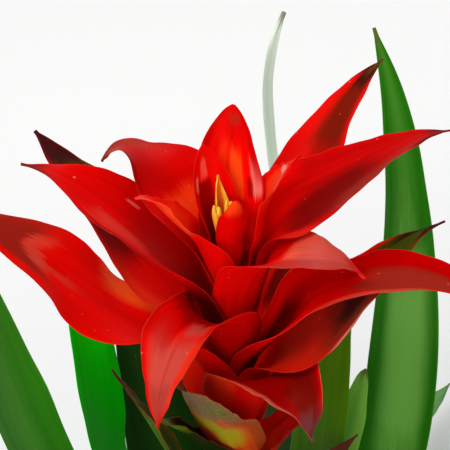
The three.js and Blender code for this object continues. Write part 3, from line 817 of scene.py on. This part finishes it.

# %% [markdown]
# Each bract's finish differs from the usual one in its patches. The inner ones have a painted
# glow at the foot, the ones that bend over a painted satin sheen, many a painted shade in their
# hollows, and the outer ones end in olive or plum.

# %% The inner bracts' finishes
STAR_LOOKS = {
    "heart": dict(red=tint(232, 6, 3), streaks=0.15, patches=[
        patch(tint(255, 88, 30), 0.75, (0.76, 0.92), (-0.95, 0.35)),
    ]),
    # inner_left: painted shade in the dark band below the highlights and at the foot; painted
    # highlights in the two pale pink patches
    "inner_left": dict(red=BRIGHT, shine=0.24, streaks=0.15, patches=[
        patch(tint(150, 2, 1), 0.85, (-1, 0, 0.7, 0.75), (-0.05, 0.5), soft=0.14, streaky=0.04),
        patch(DARK, 0.4, (-1, 0, 0.4, 0.6), (-0.1, 2)),
        patch(tint(214, 10, 6), 0.5, (0.7, 0.8), (-2, -0.1)),
        patch(tint(255, 178, 150), 0.7, (0.66, 0.7, 0.76, 0.8), (0.6, 0.68), soft=0.1),
        patch(tint(250, 116, 96), 0.6, (0.73, 0.77, 0.86, 0.94), (0.05, 0.3), soft=0.14),
    ]),
    # crest: painted glow where light shines through in the two orange patches; painted highlight in the
    # rose streak; painted shade low on one half; the small dark spots are blemishes
    "crest": dict(red=BRIGHT, streaks=0.2, shine=0.3, patches=[
        patch(tint(255, 96, 26), 0.85, (0.42, 0.5, 0.7, 0.82), (-0.3, -0.08), soft=0.14),
        patch(ORANGE, 0.45, (0.56, 0.62, 0.74, 0.85), (0.15, 0.3), soft=0.14),
        patch(ROSE, 0.7, (0.5, 0.55, 0.66, 0.76), (-0.88, -0.66), soft=0.1, streaky=0.15),
        patch(DARK, 0.6, (0.48, 0.51, 0.58, 0.64), (-0.6, -0.52), soft=0.07),
        patch(DARK, 0.6, (0.81, 0.82, 0.835, 0.845), (-0.08, -0.02), soft=0.04, streaky=0.03),
        patch(DARK, 0.5, (0.85, 0.857, 0.865, 0.872), (-0.1, -0.07), soft=0.03, streaky=0.03),
        patch(DARK, 0.4, (0.3, 0.36, 0.42, 0.48), (-2, 0)),
        patch(tint(178, 1, 1), 0.75, (0.45, 0.6), (0.84, 2), soft=0.2, streaky=0.04),
        patch(tint(178, 1, 1), 0.75, (0.5, 0.65), (-2, -0.84), soft=0.2, streaky=0.04),
        patch(tint(200, 3, 2), 0.7, (0.72, 0.92)),
        patch(BROWN, 0.6, (0.915, 0.95, 0.97, 0.985), (-0.4, 0.1)),
    ]),
    # inner_right: painted shade at the foot; painted highlight in the rose patch near the tip
    "inner_right": dict(red=BRIGHT, streaks=0.15, margin_amount=0.3, patches=[
        patch(DARK, 0.4, (-1, 0, 0.22, 0.36)),
        patch(tint(255, 76, 22), 0.6, (0.6, 0.74, 0.84, 0.9), (-0.9, 0.5), streaky=0.06),
        patch(ROSE, 0.85, (0.85, 0.875, 0.9, 0.92), (-0.25, 0.55), soft=0.2, streaky=0.05),
    ]),
    # small_left: painted glow where light shines through in the orange patch
    "small_left": dict(red=BRIGHT, streaks=0.15, margin_amount=0.4, patches=[
        patch(tint(240, 84, 44), 0.75, (0.6, 0.68, 0.88, 0.95), (0.3, 2)),
        patch(DARK, 0.5, (0.58, 0.62, 0.68, 0.74), (0.3, 0.42), soft=0.1),
        patch(ORANGE, 0.4, (0.5, 0.58, 0.68, 0.8), (-0.7, -0.3)),
        patch(SALMON, 0.6, (0.9, 0.95)),
    ]),
    # back_left: painted glow at the foot in the orange patch; painted sheen in the dull pink-brown band
    # where the blade bends over
    "back_left": dict(red=tint(210, 3, 2), streaks=0.2, gloss=0.14, patches=[
        patch(tint(255, 84, 34), 0.85, (0.36, 0.42, 0.5, 0.6), (-0.22, 0.22), streaky=0.06),
        patch(DEEP, 0.6, (0.55, 0.64, 0.76, 0.84), (0.1, 0.9)),
        patch(tint(160, 62, 46), 0.75, (0.76, 0.86), (-0.7, 0.8), soft=0.5, streaky=0.2),
        patch(DARK, 0.4, (0.6, 0.68, 0.8, 0.86), (0.88, 2), soft=0.08),
        patch(tint(130, 48, 20), 0.75, (0.9, 0.96)),
    ]),
    # right: painted shade over the middle, which turns away from the lamp; painted light in the bright
    # red that lifts the foot; painted sheen in the pink-brown band along the lower margin
    "right": dict(red=tint(206, 2, 1), deep=tint(140, 1, 1), streaks=0.3, gloss=0.1, patches=[
        patch(tint(110, 1, 1), 0.85, (0.36, 0.48, 0.62, 0.8), (-0.5, 0.05), soft=0.4),
        patch(tint(255, 8, 3), 0.95, (0.22, 0.28, 0.42, 0.54), (0.35, 2), soft=0.35),
        patch(tint(150, 52, 40), 0.8, (0.5, 0.62, 0.86, 0.92), (-0.95, -0.6), streaky=0.2),
        patch(tint(255, 56, 42), 0.4, (0.35, 0.4, 0.45, 0.5), (-2, -0.75), soft=0.2),
        patch(tint(80, 22, 20), 0.85, (0.88, 0.96)),
    ]),
    # right_low: painted satin sheen in the three salmon patches where the blade bends over
    "right_low": dict(red=BRIGHT, streaks=0.3, patches=[
        patch(tint(246, 112, 84), 0.8, (0.6, 0.66, 0.76, 0.84), (-0.1, 2), soft=0.4),
        patch(tint(196, 92, 80), 0.85, (0.66, 0.76, 0.87, 0.91), streaky=0.2),
        patch(tint(176, 66, 58), 0.75, (0.6, 0.68, 0.86, 0.9), (-2, -0.45), soft=0.35),
        patch(DEEP, 0.2, (0.64, 0.7, 0.86, 0.9), (-0.06, 0.0), soft=0.05, streaky=0.04),
        patch(DEEP, 0.6, (0.87, 0.9, 0.92, 0.95), (-2, 0.6)),
        patch(SALMON, 0.5, (0.95, 0.98)),
    ]),
    "back_right": dict(streaks=0.2, patches=[
        patch(tint(112, 32, 8), 0.92, (0.56, 0.74, 0.9, 1.0), (-0.45, 0.3), soft=0.5,
              streaky=0.08),
        patch(tint(48, 18, 16), 0.92, (0.88, 0.94)),
        patch(OLIVE, 0.7, (0.95, 0.98)),
    ]),
}
print("finishes for the inner bracts:", len(STAR_LOOKS))

# %% The outer bracts' finishes
STAR_LOOKS.update({
    # left: painted shade in the near-black foot and the deep red above it; painted sheen in the two
    # pink streaks; the rose marks are small scratches
    "left": dict(red=tint(226, 4, 2), streaks=0.25, patches=[
        patch(tint(44, 1, 1), 0.92, (-1, 0, 0.22, 0.44)),
        patch(DEEP, 0.6, (-1, 0, 0.5, 0.66), (-0.7, 0.3), soft=0.4),
        patch(tint(214, 84, 70), 0.5, (0.48, 0.56, 0.68, 0.76), (0.34, 0.55), soft=0.16),
        patch(tint(214, 84, 70), 0.3, (0.58, 0.64, 0.72, 0.8), (0.68, 0.78), soft=0.1),
        patch(DARK, 0.6, (0.45, 0.55, 0.7, 0.85), (0.88, 2), soft=0.1),
        patch(ROSE, 0.45, (0.57, 0.59, 0.63, 0.65), (-0.52, -0.48), soft=0.03, streaky=0.02),
        patch(ROSE, 0.6, (0.822, 0.826, 0.83, 0.834), (-0.28, -0.24), soft=0.04, streaky=0.0),
        patch(tint(84, 20, 18), 0.8, (0.89, 0.97), (-0.6, 2), streaky=0.1),
    ]),
    # front_left: painted shade in the dark zone at the fold and the darker red beside it; painted
    # highlight in the pink-brown line along the fold; painted satin sheen on the salmon face that bends
    # over
    "front_left": dict(streaks=0.3, margin_amount=0.4, patches=[
        patch(DARK, 0.6, (0.34, 0.4, 0.48, 0.56), (-2, 0.3)),
        patch(tint(196, 88, 76), 0.8, (0.48, 0.51, 0.54, 0.58), (0.15, 0.6), soft=0.25),
        patch(tint(192, 92, 78), 0.8, (0.53, 0.66, 0.9, 1.0), (-0.5, 0.6), soft=0.4),
        patch(tint(240, 58, 28), 0.7, (0.55, 0.65, 0.85, 0.95), (0.75, 2), soft=0.25),
        patch(DEEP, 0.3, (0.58, 0.66, 0.88, 0.95), (0.02, 0.08), soft=0.06, streaky=0.03),
        patch(tint(168, 10, 6), 0.5, (0.52, 0.56, 0.6, 0.72), (-2, -0.35), soft=0.25),
        patch(tint(150, 44, 34), 0.5, (0.78, 0.86), (-0.5, 0.5), soft=0.4),
    ]),
    # right_long: painted shade in the near-black foot inside the cup; painted sheen in the brownish
    # pink band; painted highlight in the pale line along the lower margin
    "right_long": dict(red=tint(240, 4, 2), streaks=0.3, margin_amount=0.45, gloss=0.0,
                       patches=[
        patch(tint(70, 1, 1), 0.9, (-1, 0, 0.3, 0.44), (-0.35, 0.5), soft=0.35),
        patch(tint(172, 2, 1), 0.85, (0.46, 0.58), (0.3, 2), soft=0.25),
        patch(tint(142, 54, 40), 0.85, (0.57, 0.69), (-0.65, 0.15), streaky=0.2),
        patch(tint(214, 88, 70), 0.6, (0.46, 0.56, 0.8, 0.9), (-0.95, -0.75), soft=0.15),
        patch(tint(120, 30, 20), 0.5, (0.7, 0.8), (-2, -0.97), soft=0.06),
    ]),
    "left_rear": dict(streaks=0.2, patches=[
        patch(tint(255, 66, 22), 0.7, (0.28, 0.34, 0.46, 0.6), (0.68, 2), soft=0.3),
        patch(DARK, 0.85, (0.42, 0.62), (-2, 0.6), soft=0.5),
        patch(OLIVE, 0.85, (0.74, 0.82, 0.9, 0.95), (-2, 0.2)),
        patch(tint(58, 26, 28), 0.92, (0.82, 0.9)),
    ]),
    # left_low: painted glow where light shines through in the orange stripe along the margin; painted
    # sheen in the brownish band near the tip and the two salmon streaks
    "left_low": dict(red=tint(255, 14, 4), deep=tint(214, 3, 2), streaks=0.3, patches=[
        patch(tint(255, 122, 50), 0.9, (0.2, 0.32, 0.48, 0.6), (-0.92, -0.6), soft=0.25),
        patch(tint(140, 48, 34), 0.85, (0.71, 0.81), (-0.95, 0.4), soft=0.3, streaky=0.2),
        patch(DEEP, 0.5, (0.8, 0.9), (0.5, 2), soft=0.3),
        patch(tint(226, 84, 64), 0.6, (0.56, 0.64, 0.76, 0.86), (0.02, 0.08), soft=0.12,
              streaky=0.2),
        patch(tint(222, 92, 72), 0.75, (0.69, 0.73, 0.76, 0.81), (-0.5, 0.1), soft=0.3,
              streaky=0.12),
    ]),
    # right_rear: painted highlight in the rose line along the lower margin
    "right_rear": dict(streaks=0.2, gloss=0.05, patches=[
        patch(tint(196, 48, 16), 0.7, (0.2, 0.34, 0.44, 0.56), (-0.85, 0.6)),
        patch(tint(120, 44, 12), 0.85, (0.42, 0.54, 0.6, 0.68), (-0.85, 0.6)),
        patch(tint(60, 22, 8), 0.9, (0.5, 0.62), (-0.4, 0.62), soft=0.3, streaky=0.2),
        patch(tint(90, 84, 30), 0.6, (0.58, 0.64, 0.7, 0.76), (-2, -0.6), soft=0.2),
        patch(tint(230, 24, 12), 0.7, (0.3, 0.4, 0.72, 0.8), (0.9, 2), soft=0.08),
        patch(ROSE, 0.6, (0.5, 0.56, 0.68, 0.72), (-2, -0.92), soft=0.08),
        patch(tint(62, 84, 10), 0.9, (0.73, 0.8, 0.92, 0.97), (-2, 0.7)),
        patch(tint(34, 12, 12), 0.9, (0.78, 0.84), (0.55, 2), soft=0.2),
        patch(tint(34, 12, 12), 0.9, (0.91, 0.96)),
    ]),
    # front_right: painted light in the bright orange on the under face, which the lamps leave in shade;
    # painted highlight in the pale margin line and the pink band along it
    "front_right": dict(red=BRIGHT, streaks=0.2, margin_amount=0.6, margin_from=0.955,
                        margin=tint(214, 124, 104), patches=[
        patch(tint(255, 66, 22), 0.9, (0.14, 0.26, 0.5, 0.66), (-2, -0.55), soft=0.3,
              face="under"),
        patch(tint(124, 2, 1), 0.85, (0.45, 0.58), (-0.9, 0.8), face="upper"),
        patch(tint(88, 22, 8), 0.6, (0.72, 0.8, 0.88, 0.94), (-0.2, 0.5), face="upper"),
        patch(tint(196, 112, 92), 0.7, (0.48, 0.56, 0.86, 0.96), (-2, -0.93), soft=0.07),
        patch(tint(104, 62, 64), 0.9, (0.85, 0.93), soft=0.3),
    ]),
    "front_low": dict(
        red=tint(236, 98, 40), deep=tint(190, 54, 14), streaks=0.5, scurf=0.8,
        margin_amount=0.2, patches=[
            patch(tint(168, 166, 30), 0.85, (0.34, 0.42, 0.5, 0.6), (0.2, 0.45), soft=0.3,
                  streaky=0.2),
            patch(tint(168, 166, 30), 0.85, (0.44, 0.52, 0.6, 0.72), (-0.25, 0.15), soft=0.3,
                  streaky=0.2),
            patch(tint(150, 70, 22), 0.7, (0.16, 0.26, 0.6, 0.75), (0.8, 2), soft=0.15),
            patch(tint(106, 96, 58), 0.9, (0.58, 0.7), streaky=0.15),
            patch(tint(88, 108, 36), 0.6, (0.66, 0.72, 0.8, 0.86), (0.5, 0.8)),
            patch(tint(124, 92, 84), 0.8, (0.72, 0.84), (-2, 0.5)),
        ]),
    # rear_low_left: painted glow at the foot where light shines through, lifting a foot in the star's
    # shade
    "rear_low_left": dict(red=BRIGHT, patches=[
        patch(tint(255, 62, 16), 0.9, (-1, 0, 0.5, 0.64)),
        patch(OLIVE, 0.8, (0.65, 0.82)), patch(PLUM, 0.9, (0.85, 0.95)),
    ]),
    # rear_low_right: painted glow at the foot where light shines through
    "rear_low_right": dict(red=BRIGHT, patches=[
        patch(ORANGE, 0.7, (-1, 0, 0.2, 0.34)),
        patch(DARK, 0.85, (0.5, 0.62, 0.76, 0.84), (-0.2, 0.1), soft=0.2),
        patch(OLIVE, 0.8, (0.8, 0.9)), patch(PLUM, 0.9, (0.88, 0.96)),
    ]),
})
print("finishes for the whole star:", len(STAR_LOOKS))

# %% Grow the star
STAR_ROWS, STAR_COLUMNS = 84, 26


def grow_bract(kind, name, row, look, rows, columns):
    blade = {**USUAL, **row, "z": CUP_HEIGHT + row["z"], "thickness": BRACT_THICKNESS}
    material = bract_material(kind.replace("_", " ") + " " + name, blade, look)
    add_blade(kind + "_" + name, blade, rows, columns, material)


for name, row in STAR.items():
    grow_bract("bract", name, row, STAR_LOOKS[name], STAR_ROWS, STAR_COLUMNS)
print("bracts in the star:", len(STAR))

# %% [markdown]
# ## The bracts down the stalk
# Below the star the bracts turn back into leaves by steps: smaller, green with maroon edges,
# and the nearer to the star the redder. The bract's finish serves for them too, with other
# colours.

# %% The stalk's bracts
STALK_HABIT = dict(sheath=27, curl=(160, 120, 90, 80, 60))
STALK_BRACTS = {
    "olive": dict(z=-117, az=221, clasp=20, length=62, width=18, rise=(62, 58, 54, 50, 44)),
    "russet": dict(z=-121, az=0, clasp=20, length=45, width=21, rise=(62, 56, 50, 44, 34)),
    "green_rear": dict(z=-134, az=96, clasp=22, length=84, width=20, rise=(62, 54, 46, 38, 28)),
    "green_left": dict(z=-158, az=190, clasp=22, length=110, width=18, rise=(74, 72, 70, 68, 66)),
    "green_front": dict(z=-172, az=-96, clasp=24, length=84, width=20, rise=(64, 58, 48, 36, 20)),
    "green_right": dict(z=-190, az=26, clasp=24, length=86, width=21, rise=(68, 62, 56, 46, 32)),
}
STALK_USUAL = dict(
    red=tint(66, 96, 22), deep=tint(36, 62, 12), streaks=0.5, margin=tint(104, 34, 30),
    margin_amount=0.7, margin_from=0.9, shine=0.42,
)
STALK_LOOKS = {
    "olive": dict(red=tint(30, 56, 12), deep=tint(14, 32, 6), patches=[
        patch(tint(104, 128, 24), 0.8, (0.74, 0.88))]),
    # russet: painted glow at the foot where light shines through
    "russet": dict(red=tint(206, 30, 10), deep=tint(120, 12, 4), patches=[
        patch(ORANGE, 0.5, (0.0, 0.1, 0.4, 0.6)), patch(PLUM, 0.8, (0.8, 0.95))]),
    "green_rear": dict(patches=[patch(PLUM, 0.8, (0.8, 0.95))]),
    "green_left": dict(red=tint(98, 130, 46), patches=[
        patch(tint(84, 60, 30), 0.7, (0.72, 0.86)), patch(PLUM, 0.7, (0.93, 0.98))]),
    "green_front": dict(patches=[patch(PLUM, 0.8, (0.8, 0.95))]),
    "green_right": dict(patches=[patch(tint(112, 62, 54), 0.85, (0.55, 0.75))]),
}
STALK_ROWS, STALK_COLUMNS = 60, 20
for name, row in STALK_BRACTS.items():
    look = {**STALK_USUAL, **STALK_LOOKS[name]}
    blade = {**STALK_HABIT, **row}
    grow_bract("stalk_bract", name, blade, look, STALK_ROWS, STALK_COLUMNS)
print("bracts down the stalk:", len(STALK_BRACTS))

# %% [markdown]
# ## The rosette of leaves
# The strap leaves are plain green, with close parallel veins and a painted sheen down the middle.
# The upper ones stand up behind the star, and the lowest five droop and lie along the ground.

# %% The leaves, from the topmost down
LEAF_HABIT = dict(clasp=36, sheath=36, widest=0.4, taper=1.1, curl=(150, 90, 50, 40, 40),
                  frill=0.5)
LEAVES = {
    "rear_right": dict(z=62, az=52, length=208, width=30, widest=0.44, taper=0.64,
        rise=(80, 65, 79, 77, 30), turn=(0, -4, -6, 7, 3), roll=(0, -1, -11, 0, 5),
        curl=(150, 89, 31, 43, 39)),
    "left_mid": dict(z=58.8, az=165.5, length=241.5, width=28.5, widest=0.42, taper=0.65,
        rise=(78, 71, 79, 88, 60), turn=(0, 0, -11, -40, -56), roll=(0, 0, 15, 9, -10),
        curl=(150, 91, 38, 45, 39)),
    "front_left_up": dict(z=55.2, az=234, length=225, width=29, rise=(72, 56, 36, 10, -25)),
    "rear_right_short": dict(z=52.4, az=43, length=172, width=19, taper=0.5, rise=(77, 72, 68, 68, 70)),
    "rear_left": dict(z=49.2, az=124.5, length=213, width=46, rise=(78, 76, 72, 68, 60)),
    "front_right_up": dict(z=46, az=296, length=255, width=29, rise=(70, 54, 34, 8, -28)),
    "left_tall": dict(z=42.2, az=170, length=341, width=35.5, widest=0.42, taper=1.04,
        rise=(72, 67, 75, 77, 52), turn=(0, 1, -6, -8, 1), roll=(0, 0, -6, -6, 0),
        curl=(150, 90, 44, 42, 40)),
    "right_out": dict(z=39.4, az=-4, length=315, width=30, rise=(68, 67, 62, 52, 38)),
    "rear_thin": dict(z=35.2, az=81, length=319.5, width=28.5, widest=0.42, taper=0.95,
        rise=(72, 60, 57, 66, 39), turn=(0, -1, -8, 22, -24), roll=(0, 0, 30, 59, 75),
        curl=(150, 90, 49, 50, 37)),
    "right_tall": dict(z=31, az=36, length=329, width=31, widest=0.38, taper=0.87,
        rise=(62, 63, 72, 74, 61), turn=(0, 10, 37, 58, 87), roll=(0, 0, 5, 15, -14),
        curl=(150, 88, 52, 52, 38)),
    "front": dict(z=28, az=266, length=300, width=31, rise=(64, 44, 18, -15, -50)),
    "left_out": dict(z=24.6, az=192, length=330, width=32, rise=(62, 48, 26, -6, -42)),
    "front_right": dict(z=21.2, az=326, length=330, width=32, rise=(58, 40, 14, -20, -50)),
    "low_front_left": dict(z=17.8, az=240, length=330, width=32, rise=(52, 28, -2, -30, -30)),
    "low_right": dict(z=14.6, az=12, length=325, width=32, rise=(50, 26, -2, -30, -30)),
    "low_left": dict(z=11.6, az=160, length=320, width=32, rise=(46, 22, -4, -28, -28)),
    "low_front": dict(z=8.8, az=288, length=315, width=32, rise=(42, 18, -6, -28, -24)),
    "low_rear": dict(z=6, az=66, length=310, width=32, rise=(40, 16, -8, -28, -24)),
}
print("leaves:", len(LEAVES))

# %% [markdown]
# A few leaves have greens of their own, painted lighter or darker for the light they get: the
# high leaf at the back is painted nearly white, as if flooded with light, and the short one close
# behind the star is painted very dark, as shade. The rest share one finish.

# %% The leaf's material
# middle: the colour of a painted sheen down the middle of the leaf; it also lightens the under face,
# which is paler of its own
LEAF_LOOK = dict(
    dark=tint(44, 112, 18), light=tint(78, 146, 40), middle=tint(112, 172, 74),
    middle_amount=0.45, patches=(),
)
LEAF_LOOKS = {
    # left_mid: painted light, a brightened green for a leaf that the star shades
    "left_mid": dict(dark=tint(2, 176, 1), light=tint(6, 206, 3), middle=tint(30, 200, 16),
                     middle_amount=0.15),
    # rear_left: painted shade, a darker copy of the green
    "rear_left": dict(dark=tint(14, 48, 8), light=tint(26, 66, 12), middle_amount=0.1),
    "left_tall": dict(dark=tint(44, 128, 20), light=tint(96, 170, 52)),
    "rear_right": dict(dark=tint(82, 132, 8), light=tint(118, 168, 30), middle_amount=0.1),
    "rear_right_short": dict(dark=tint(140, 196, 84), light=tint(170, 216, 110)),
    # rear_thin: painted light, nearly white as if flooded with light; painted shade, dark green low
    # down where it shows in shaded gaps
    "rear_thin": dict(dark=tint(236, 248, 232), light=tint(250, 254, 246), middle_amount=0.1,
                      patches=[patch(tint(20, 60, 10), 0.95, (-1, 0, 0.62, 0.74))]),
    # right_tall: painted sheen in the pale patch down the middle
    "right_tall": dict(dark=tint(26, 106, 4), light=tint(60, 140, 20), patches=[
        patch(tint(140, 196, 100), 0.75, (0.38, 0.5, 0.66, 0.8), (-0.4, 0.3), soft=0.5)]),
}
PALE_FOOT = patch(tint(172, 178, 120), 0.9, (-1, 0, 0.03, 0.2))
DRY_TIP = patch(tint(112, 84, 48), 0.8, (0.955, 1.0), streaky=0.06)
LEAF_DUST = tint(170, 190, 150)
LEAF_SIZES = dict(Width=15.0, Length=300.0, Seed=3.1)
LEAF_RELIEF = 0.16
LEAF_FLESH = {
    "Specular IOR Level": 0.35, "Specular Tint": (0.5, 1.0, 0.3), "Subsurface Weight": 0.2,
    "Subsurface Radius": (0.3, 1.0, 0.1), "Subsurface Scale": 1.0 * MM,
}


def leaf_colour(wires, look, place, veins, skin):
    colour = wires.mix(veins["Broad"], look["dark"], look["light"])
    # painted sheen: the lighter band down the middle
    middle = wires.ramp(place["Edge"], 0.0, 0.75, look["middle_amount"], 0.0)
    colour = wires.mix(middle, colour, look["middle"])
    colour = wires.mix(wires.times(veins["Fine"], 0.25), colour, look["dark"])
    colour = wires.mix(wires.times(place["Under"], 0.3), colour, look["middle"])
    for spot in (PALE_FOOT, DRY_TIP, *look["patches"]):
        colour = lay_patch(wires, colour, spot, place, veins)
    margin = wires.ramp(place["Edge"], 0.95, 0.999, 0.0, 0.35)
    colour = wires.mix(margin, colour, look["middle"])
    return wires.mix(skin["Specks"], colour, LEAF_DUST)


def leaf_material(name, changes):
    look = {**LEAF_LOOK, **changes}
    material, wires, surface = new_material(name + " skin")
    place, veins, skin = read_blade(wires, 0.2, **LEAF_SIZES)
    wires.fill(surface, {
        "Base Color": leaf_colour(wires, look, place, veins, skin),
        "Roughness": wires.plus(wires.times(veins["Fine"], 0.14), 0.36),
        "Normal": blade_relief(wires, veins, skin, LEAF_RELIEF),
        **LEAF_FLESH,
    })
    return material


print("leaves with a finish of their own:", len(LEAF_LOOKS))

# %% Grow the leaves
LEAF_ROWS, LEAF_COLUMNS = 96, 20
leaf_skins = {"": leaf_material("leaf", {})}
for name, changes in LEAF_LOOKS.items():
    leaf_skins[name] = leaf_material("leaf " + name, changes)
for name, row in LEAVES.items():
    blade = {**USUAL, **LEAF_HABIT, **row, "thickness": LEAF_THICKNESS}
    leaf_skin = leaf_skins.get(name, leaf_skins[""])
    add_blade("leaf_" + name, blade, LEAF_ROWS, LEAF_COLUMNS, leaf_skin)
print("leaves grown, finishes:", len(leaf_skins))

# %% [markdown]
# ## The flowers
# Three small flowers show in the cup. Two are slim closed tubes with blunt, three-lobed yellow
# ends. The third is open: a pointed hood, yellow at the margins and orange red inside.

# %% The yellow finish
YELLOW = (0.97, 0.62, 0.06)
HOOD_INSIDE = (0.9, 0.17, 0.02)
POLLEN = (0.95, 0.8, 0.4)
DARKER = 0.75
FLOWER_FOOT = patch(tint(224, 130, 40), 0.7, (-1, 0, 0.1, 0.6), streaky=0.15)
FLOWER_SIZES = dict(Width=6.0, Length=24.0, Seed=1.7)
FLOWER_RELIEF = 0.08
FLOWER_FLESH = {
    "Subsurface Weight": 0.3, "Subsurface Radius": (1.0, 0.6, 0.1), "Subsurface Scale": 0.8 * MM,
}


def flower_material(name, lip, hollow, margin_from):
    material, wires, surface = new_material(name)
    place, veins, skin = read_blade(wires, 0.2, **FLOWER_SIZES)
    edge = wires.ramp(place["Edge"], margin_from, margin_from + 0.25)
    edge = wires.math("MAXIMUM", edge, place["Under"])
    colour = wires.mix(edge, hollow, lip)
    darker = tuple(DARKER * value for value in lip)
    colour = wires.mix(wires.times(veins["Broad"], 0.4), colour, darker)
    colour = lay_patch(wires, colour, FLOWER_FOOT, place, veins)
    wires.fill(surface, {
        "Base Color": wires.mix(skin["Specks"], colour, POLLEN),
        "Roughness": wires.plus(wires.times(skin["Cells"], 0.15), 0.35),
        "Normal": blade_relief(wires, veins, skin, FLOWER_RELIEF),
        **FLOWER_FLESH,
    })
    return material


PETAL_SKIN = flower_material("yellow petal skin", YELLOW, YELLOW, 0.0)
HOOD_SKIN = flower_material("open flower skin", YELLOW, HOOD_INSIDE, 0.36)
print("flower finishes made")

# %% [markdown]
# A closed flower is a stack of rings. Each ring has three shallow lobes, which deepen towards
# the mouth, and the top folds in to a small dimple, as the petals' rounded ends do.

# %% The closed flowers
FLOWERS = {
    "left": dict(x=-1.85, y=-1.8, height=19.5, radius=1.65, lean=-2.1),
    "right": dict(x=0.7, y=-0.5, height=20.5, radius=1.6, lean=-0.3),
}
TUBE_STATIONS = (0.55, 0.66, 0.75, 0.84, 0.93, 1.0, 0.98, 0.62, 0.1)
TUBE_RISE = (0, 0.15, 0.3, 0.46, 0.62, 0.78, 0.92, 0.985, 0.95)
LOBE_DEPTH = 0.08
LOBE_RISE = 0.06
TUBE_RINGS, TUBE_SIDES = 40, 36


def ring_faces(rings, sides):
    index = np.arange(rings * sides).reshape(rings, sides)
    faces = []
    for i in range(rings - 1):
        for k in range(sides):
            n = (k + 1) % sides
            faces.append([index[i, k], index[i, n], index[i + 1, n], index[i + 1, k]])
    faces.append(list(index[0])[::-1])
    faces.append(list(index[-1]))
    return faces


def flower_mesh(name, x, y, height, radius, lean):
    t = np.linspace(0, 1, TUBE_RINGS)[:, None]
    angle = np.linspace(0, 2 * math.pi, TUBE_SIDES, endpoint=False)[None, :]
    share = along(TUBE_RISE, t)
    lobe = np.cos(3 * angle) * np.clip(share, 0, 1)
    reach = radius * along(TUBE_STATIONS, t) * (1 + LOBE_DEPTH * lobe)
    across = x + lean * share + reach * np.cos(angle)
    depth = y + reach * np.sin(angle)
    z = STALK_TOP + SEAT_GAP + height * share * (1 + LOBE_RISE * lobe * share)
    points = np.stack([across, depth, z], 2).reshape(-1, 3)
    faces = ring_faces(TUBE_RINGS, TUBE_SIDES)
    corners = np.concatenate(faces)
    rise = np.repeat(t.ravel(), TUBE_SIDES)
    turn = np.tile((angle / (2 * math.pi)).ravel(), TUBE_RINGS)
    places = np.stack([turn[corners], rise[corners]], 1)
    return smooth_mesh("flower_" + name + "_fine", points, faces, places)


for name, sizes in FLOWERS.items():
    dress("flower_" + name, flower_mesh(name, **sizes), PETAL_SKIN)
print("closed flowers:", len(FLOWERS))

# %% The open flower
HOOD = dict(z=STALK_TOP - 3, az=125, clasp=4, length=33, width=10.5, sheath=4, taper=1.1,
            rise=(88, 88, 90, 92, 94), curl=(190, 200, 180, 150, 120), frill=0.05,
            thickness=BRACT_THICKNESS)
HOOD_ROWS, HOOD_COLUMNS = 48, 16
add_blade("flower_hood", {**USUAL, **HOOD}, HOOD_ROWS, HOOD_COLUMNS, HOOD_SKIN)
print("open flower grown")

# %% [markdown]
# ## The stalk
# The stalk is a plain round stem, olive green, with faint rings at an even spacing along it. It
# widens into the short stem that carries the leaves, and ends in a flat, pale cut. Turning a
# profile round the axis gives the whole piece.

# %% The stalk's mesh
STALK_RINGS, STALK_SIDES = 180, 48
RIDGE_HEIGHT, RIDGE_PITCH = 0.06, 3.2
RIDGES_FROM = (2, 10)
FLUTES, FLUTE_DEPTH = 5, 0.004


def stalk_mesh():
    z = np.linspace(0, STALK_TOP, STALK_RINGS)
    angle = np.linspace(0, 2 * math.pi, STALK_SIDES, endpoint=False)
    ridge = RIDGE_HEIGHT * np.sin(z / RIDGE_PITCH) * smooth(*RIDGES_FROM, z)
    fluted = 1 + FLUTE_DEPTH * np.cos(FLUTES * angle)[None, :]
    radius = (axis_radius(z) + ridge)[:, None] * fluted
    x, y = radius * np.cos(angle), radius * np.sin(angle)
    points = np.stack([x, y, np.broadcast_to(z[:, None], x.shape)], 2).reshape(-1, 3)
    mesh = bpy.data.meshes.new("stalk_fine")
    mesh.from_pydata(points * MM, [], ring_faces(STALK_RINGS, STALK_SIDES))
    for polygon in mesh.polygons[:-2]:
        polygon.use_smooth = True
    return mesh


print("the stalk is", STALK_TOP, "mm long")

# %% The stalk's material
FIBRE_PULL = (1.0, 1.0, 0.08)
FIBRE_SCALE, BLOTCH_SCALE = 900.0, 60.0
STALK_TONES = ((0.12, 0.17, 0.04), (0.25, 0.28, 0.09))
BLOTCH = (0.16, 0.07, 0.03)
CUT = (0.55, 0.48, 0.3)
CUT_HEIGHT = 4 * MM


def stalk_material():
    material, wires, surface = new_material("stalk skin")
    place = wires.place()
    pulled = wires.node("ShaderNodeMapping", {"Vector": place, "Scale": FIBRE_PULL})
    streaks = wires.noise(pulled.outputs["Vector"], FIBRE_SCALE, 3.0)
    blotches = wires.ramp(wires.noise(place, BLOTCH_SCALE), 0.5, 0.7, 0.0, 0.5)
    colour = wires.mix(blotches, wires.mix(streaks, *STALK_TONES), BLOTCH)
    foot = wires.ramp(wires.split(place)["Z"], 0.0, CUT_HEIGHT, 1.0, 0.0)
    sockets = {"Height": streaks, "Strength": 0.6, "Distance": 0.2 * MM}
    wires.fill(surface, {
        "Base Color": wires.mix(foot, colour, CUT),
        "Roughness": wires.ramp(streaks, 0.2, 0.8, 0.45, 0.65),
        "Normal": wires.node("ShaderNodeBump", sockets).outputs[0],
    })
    return material


dress("stalk", stalk_mesh(), stalk_material())
print("stalk turned")
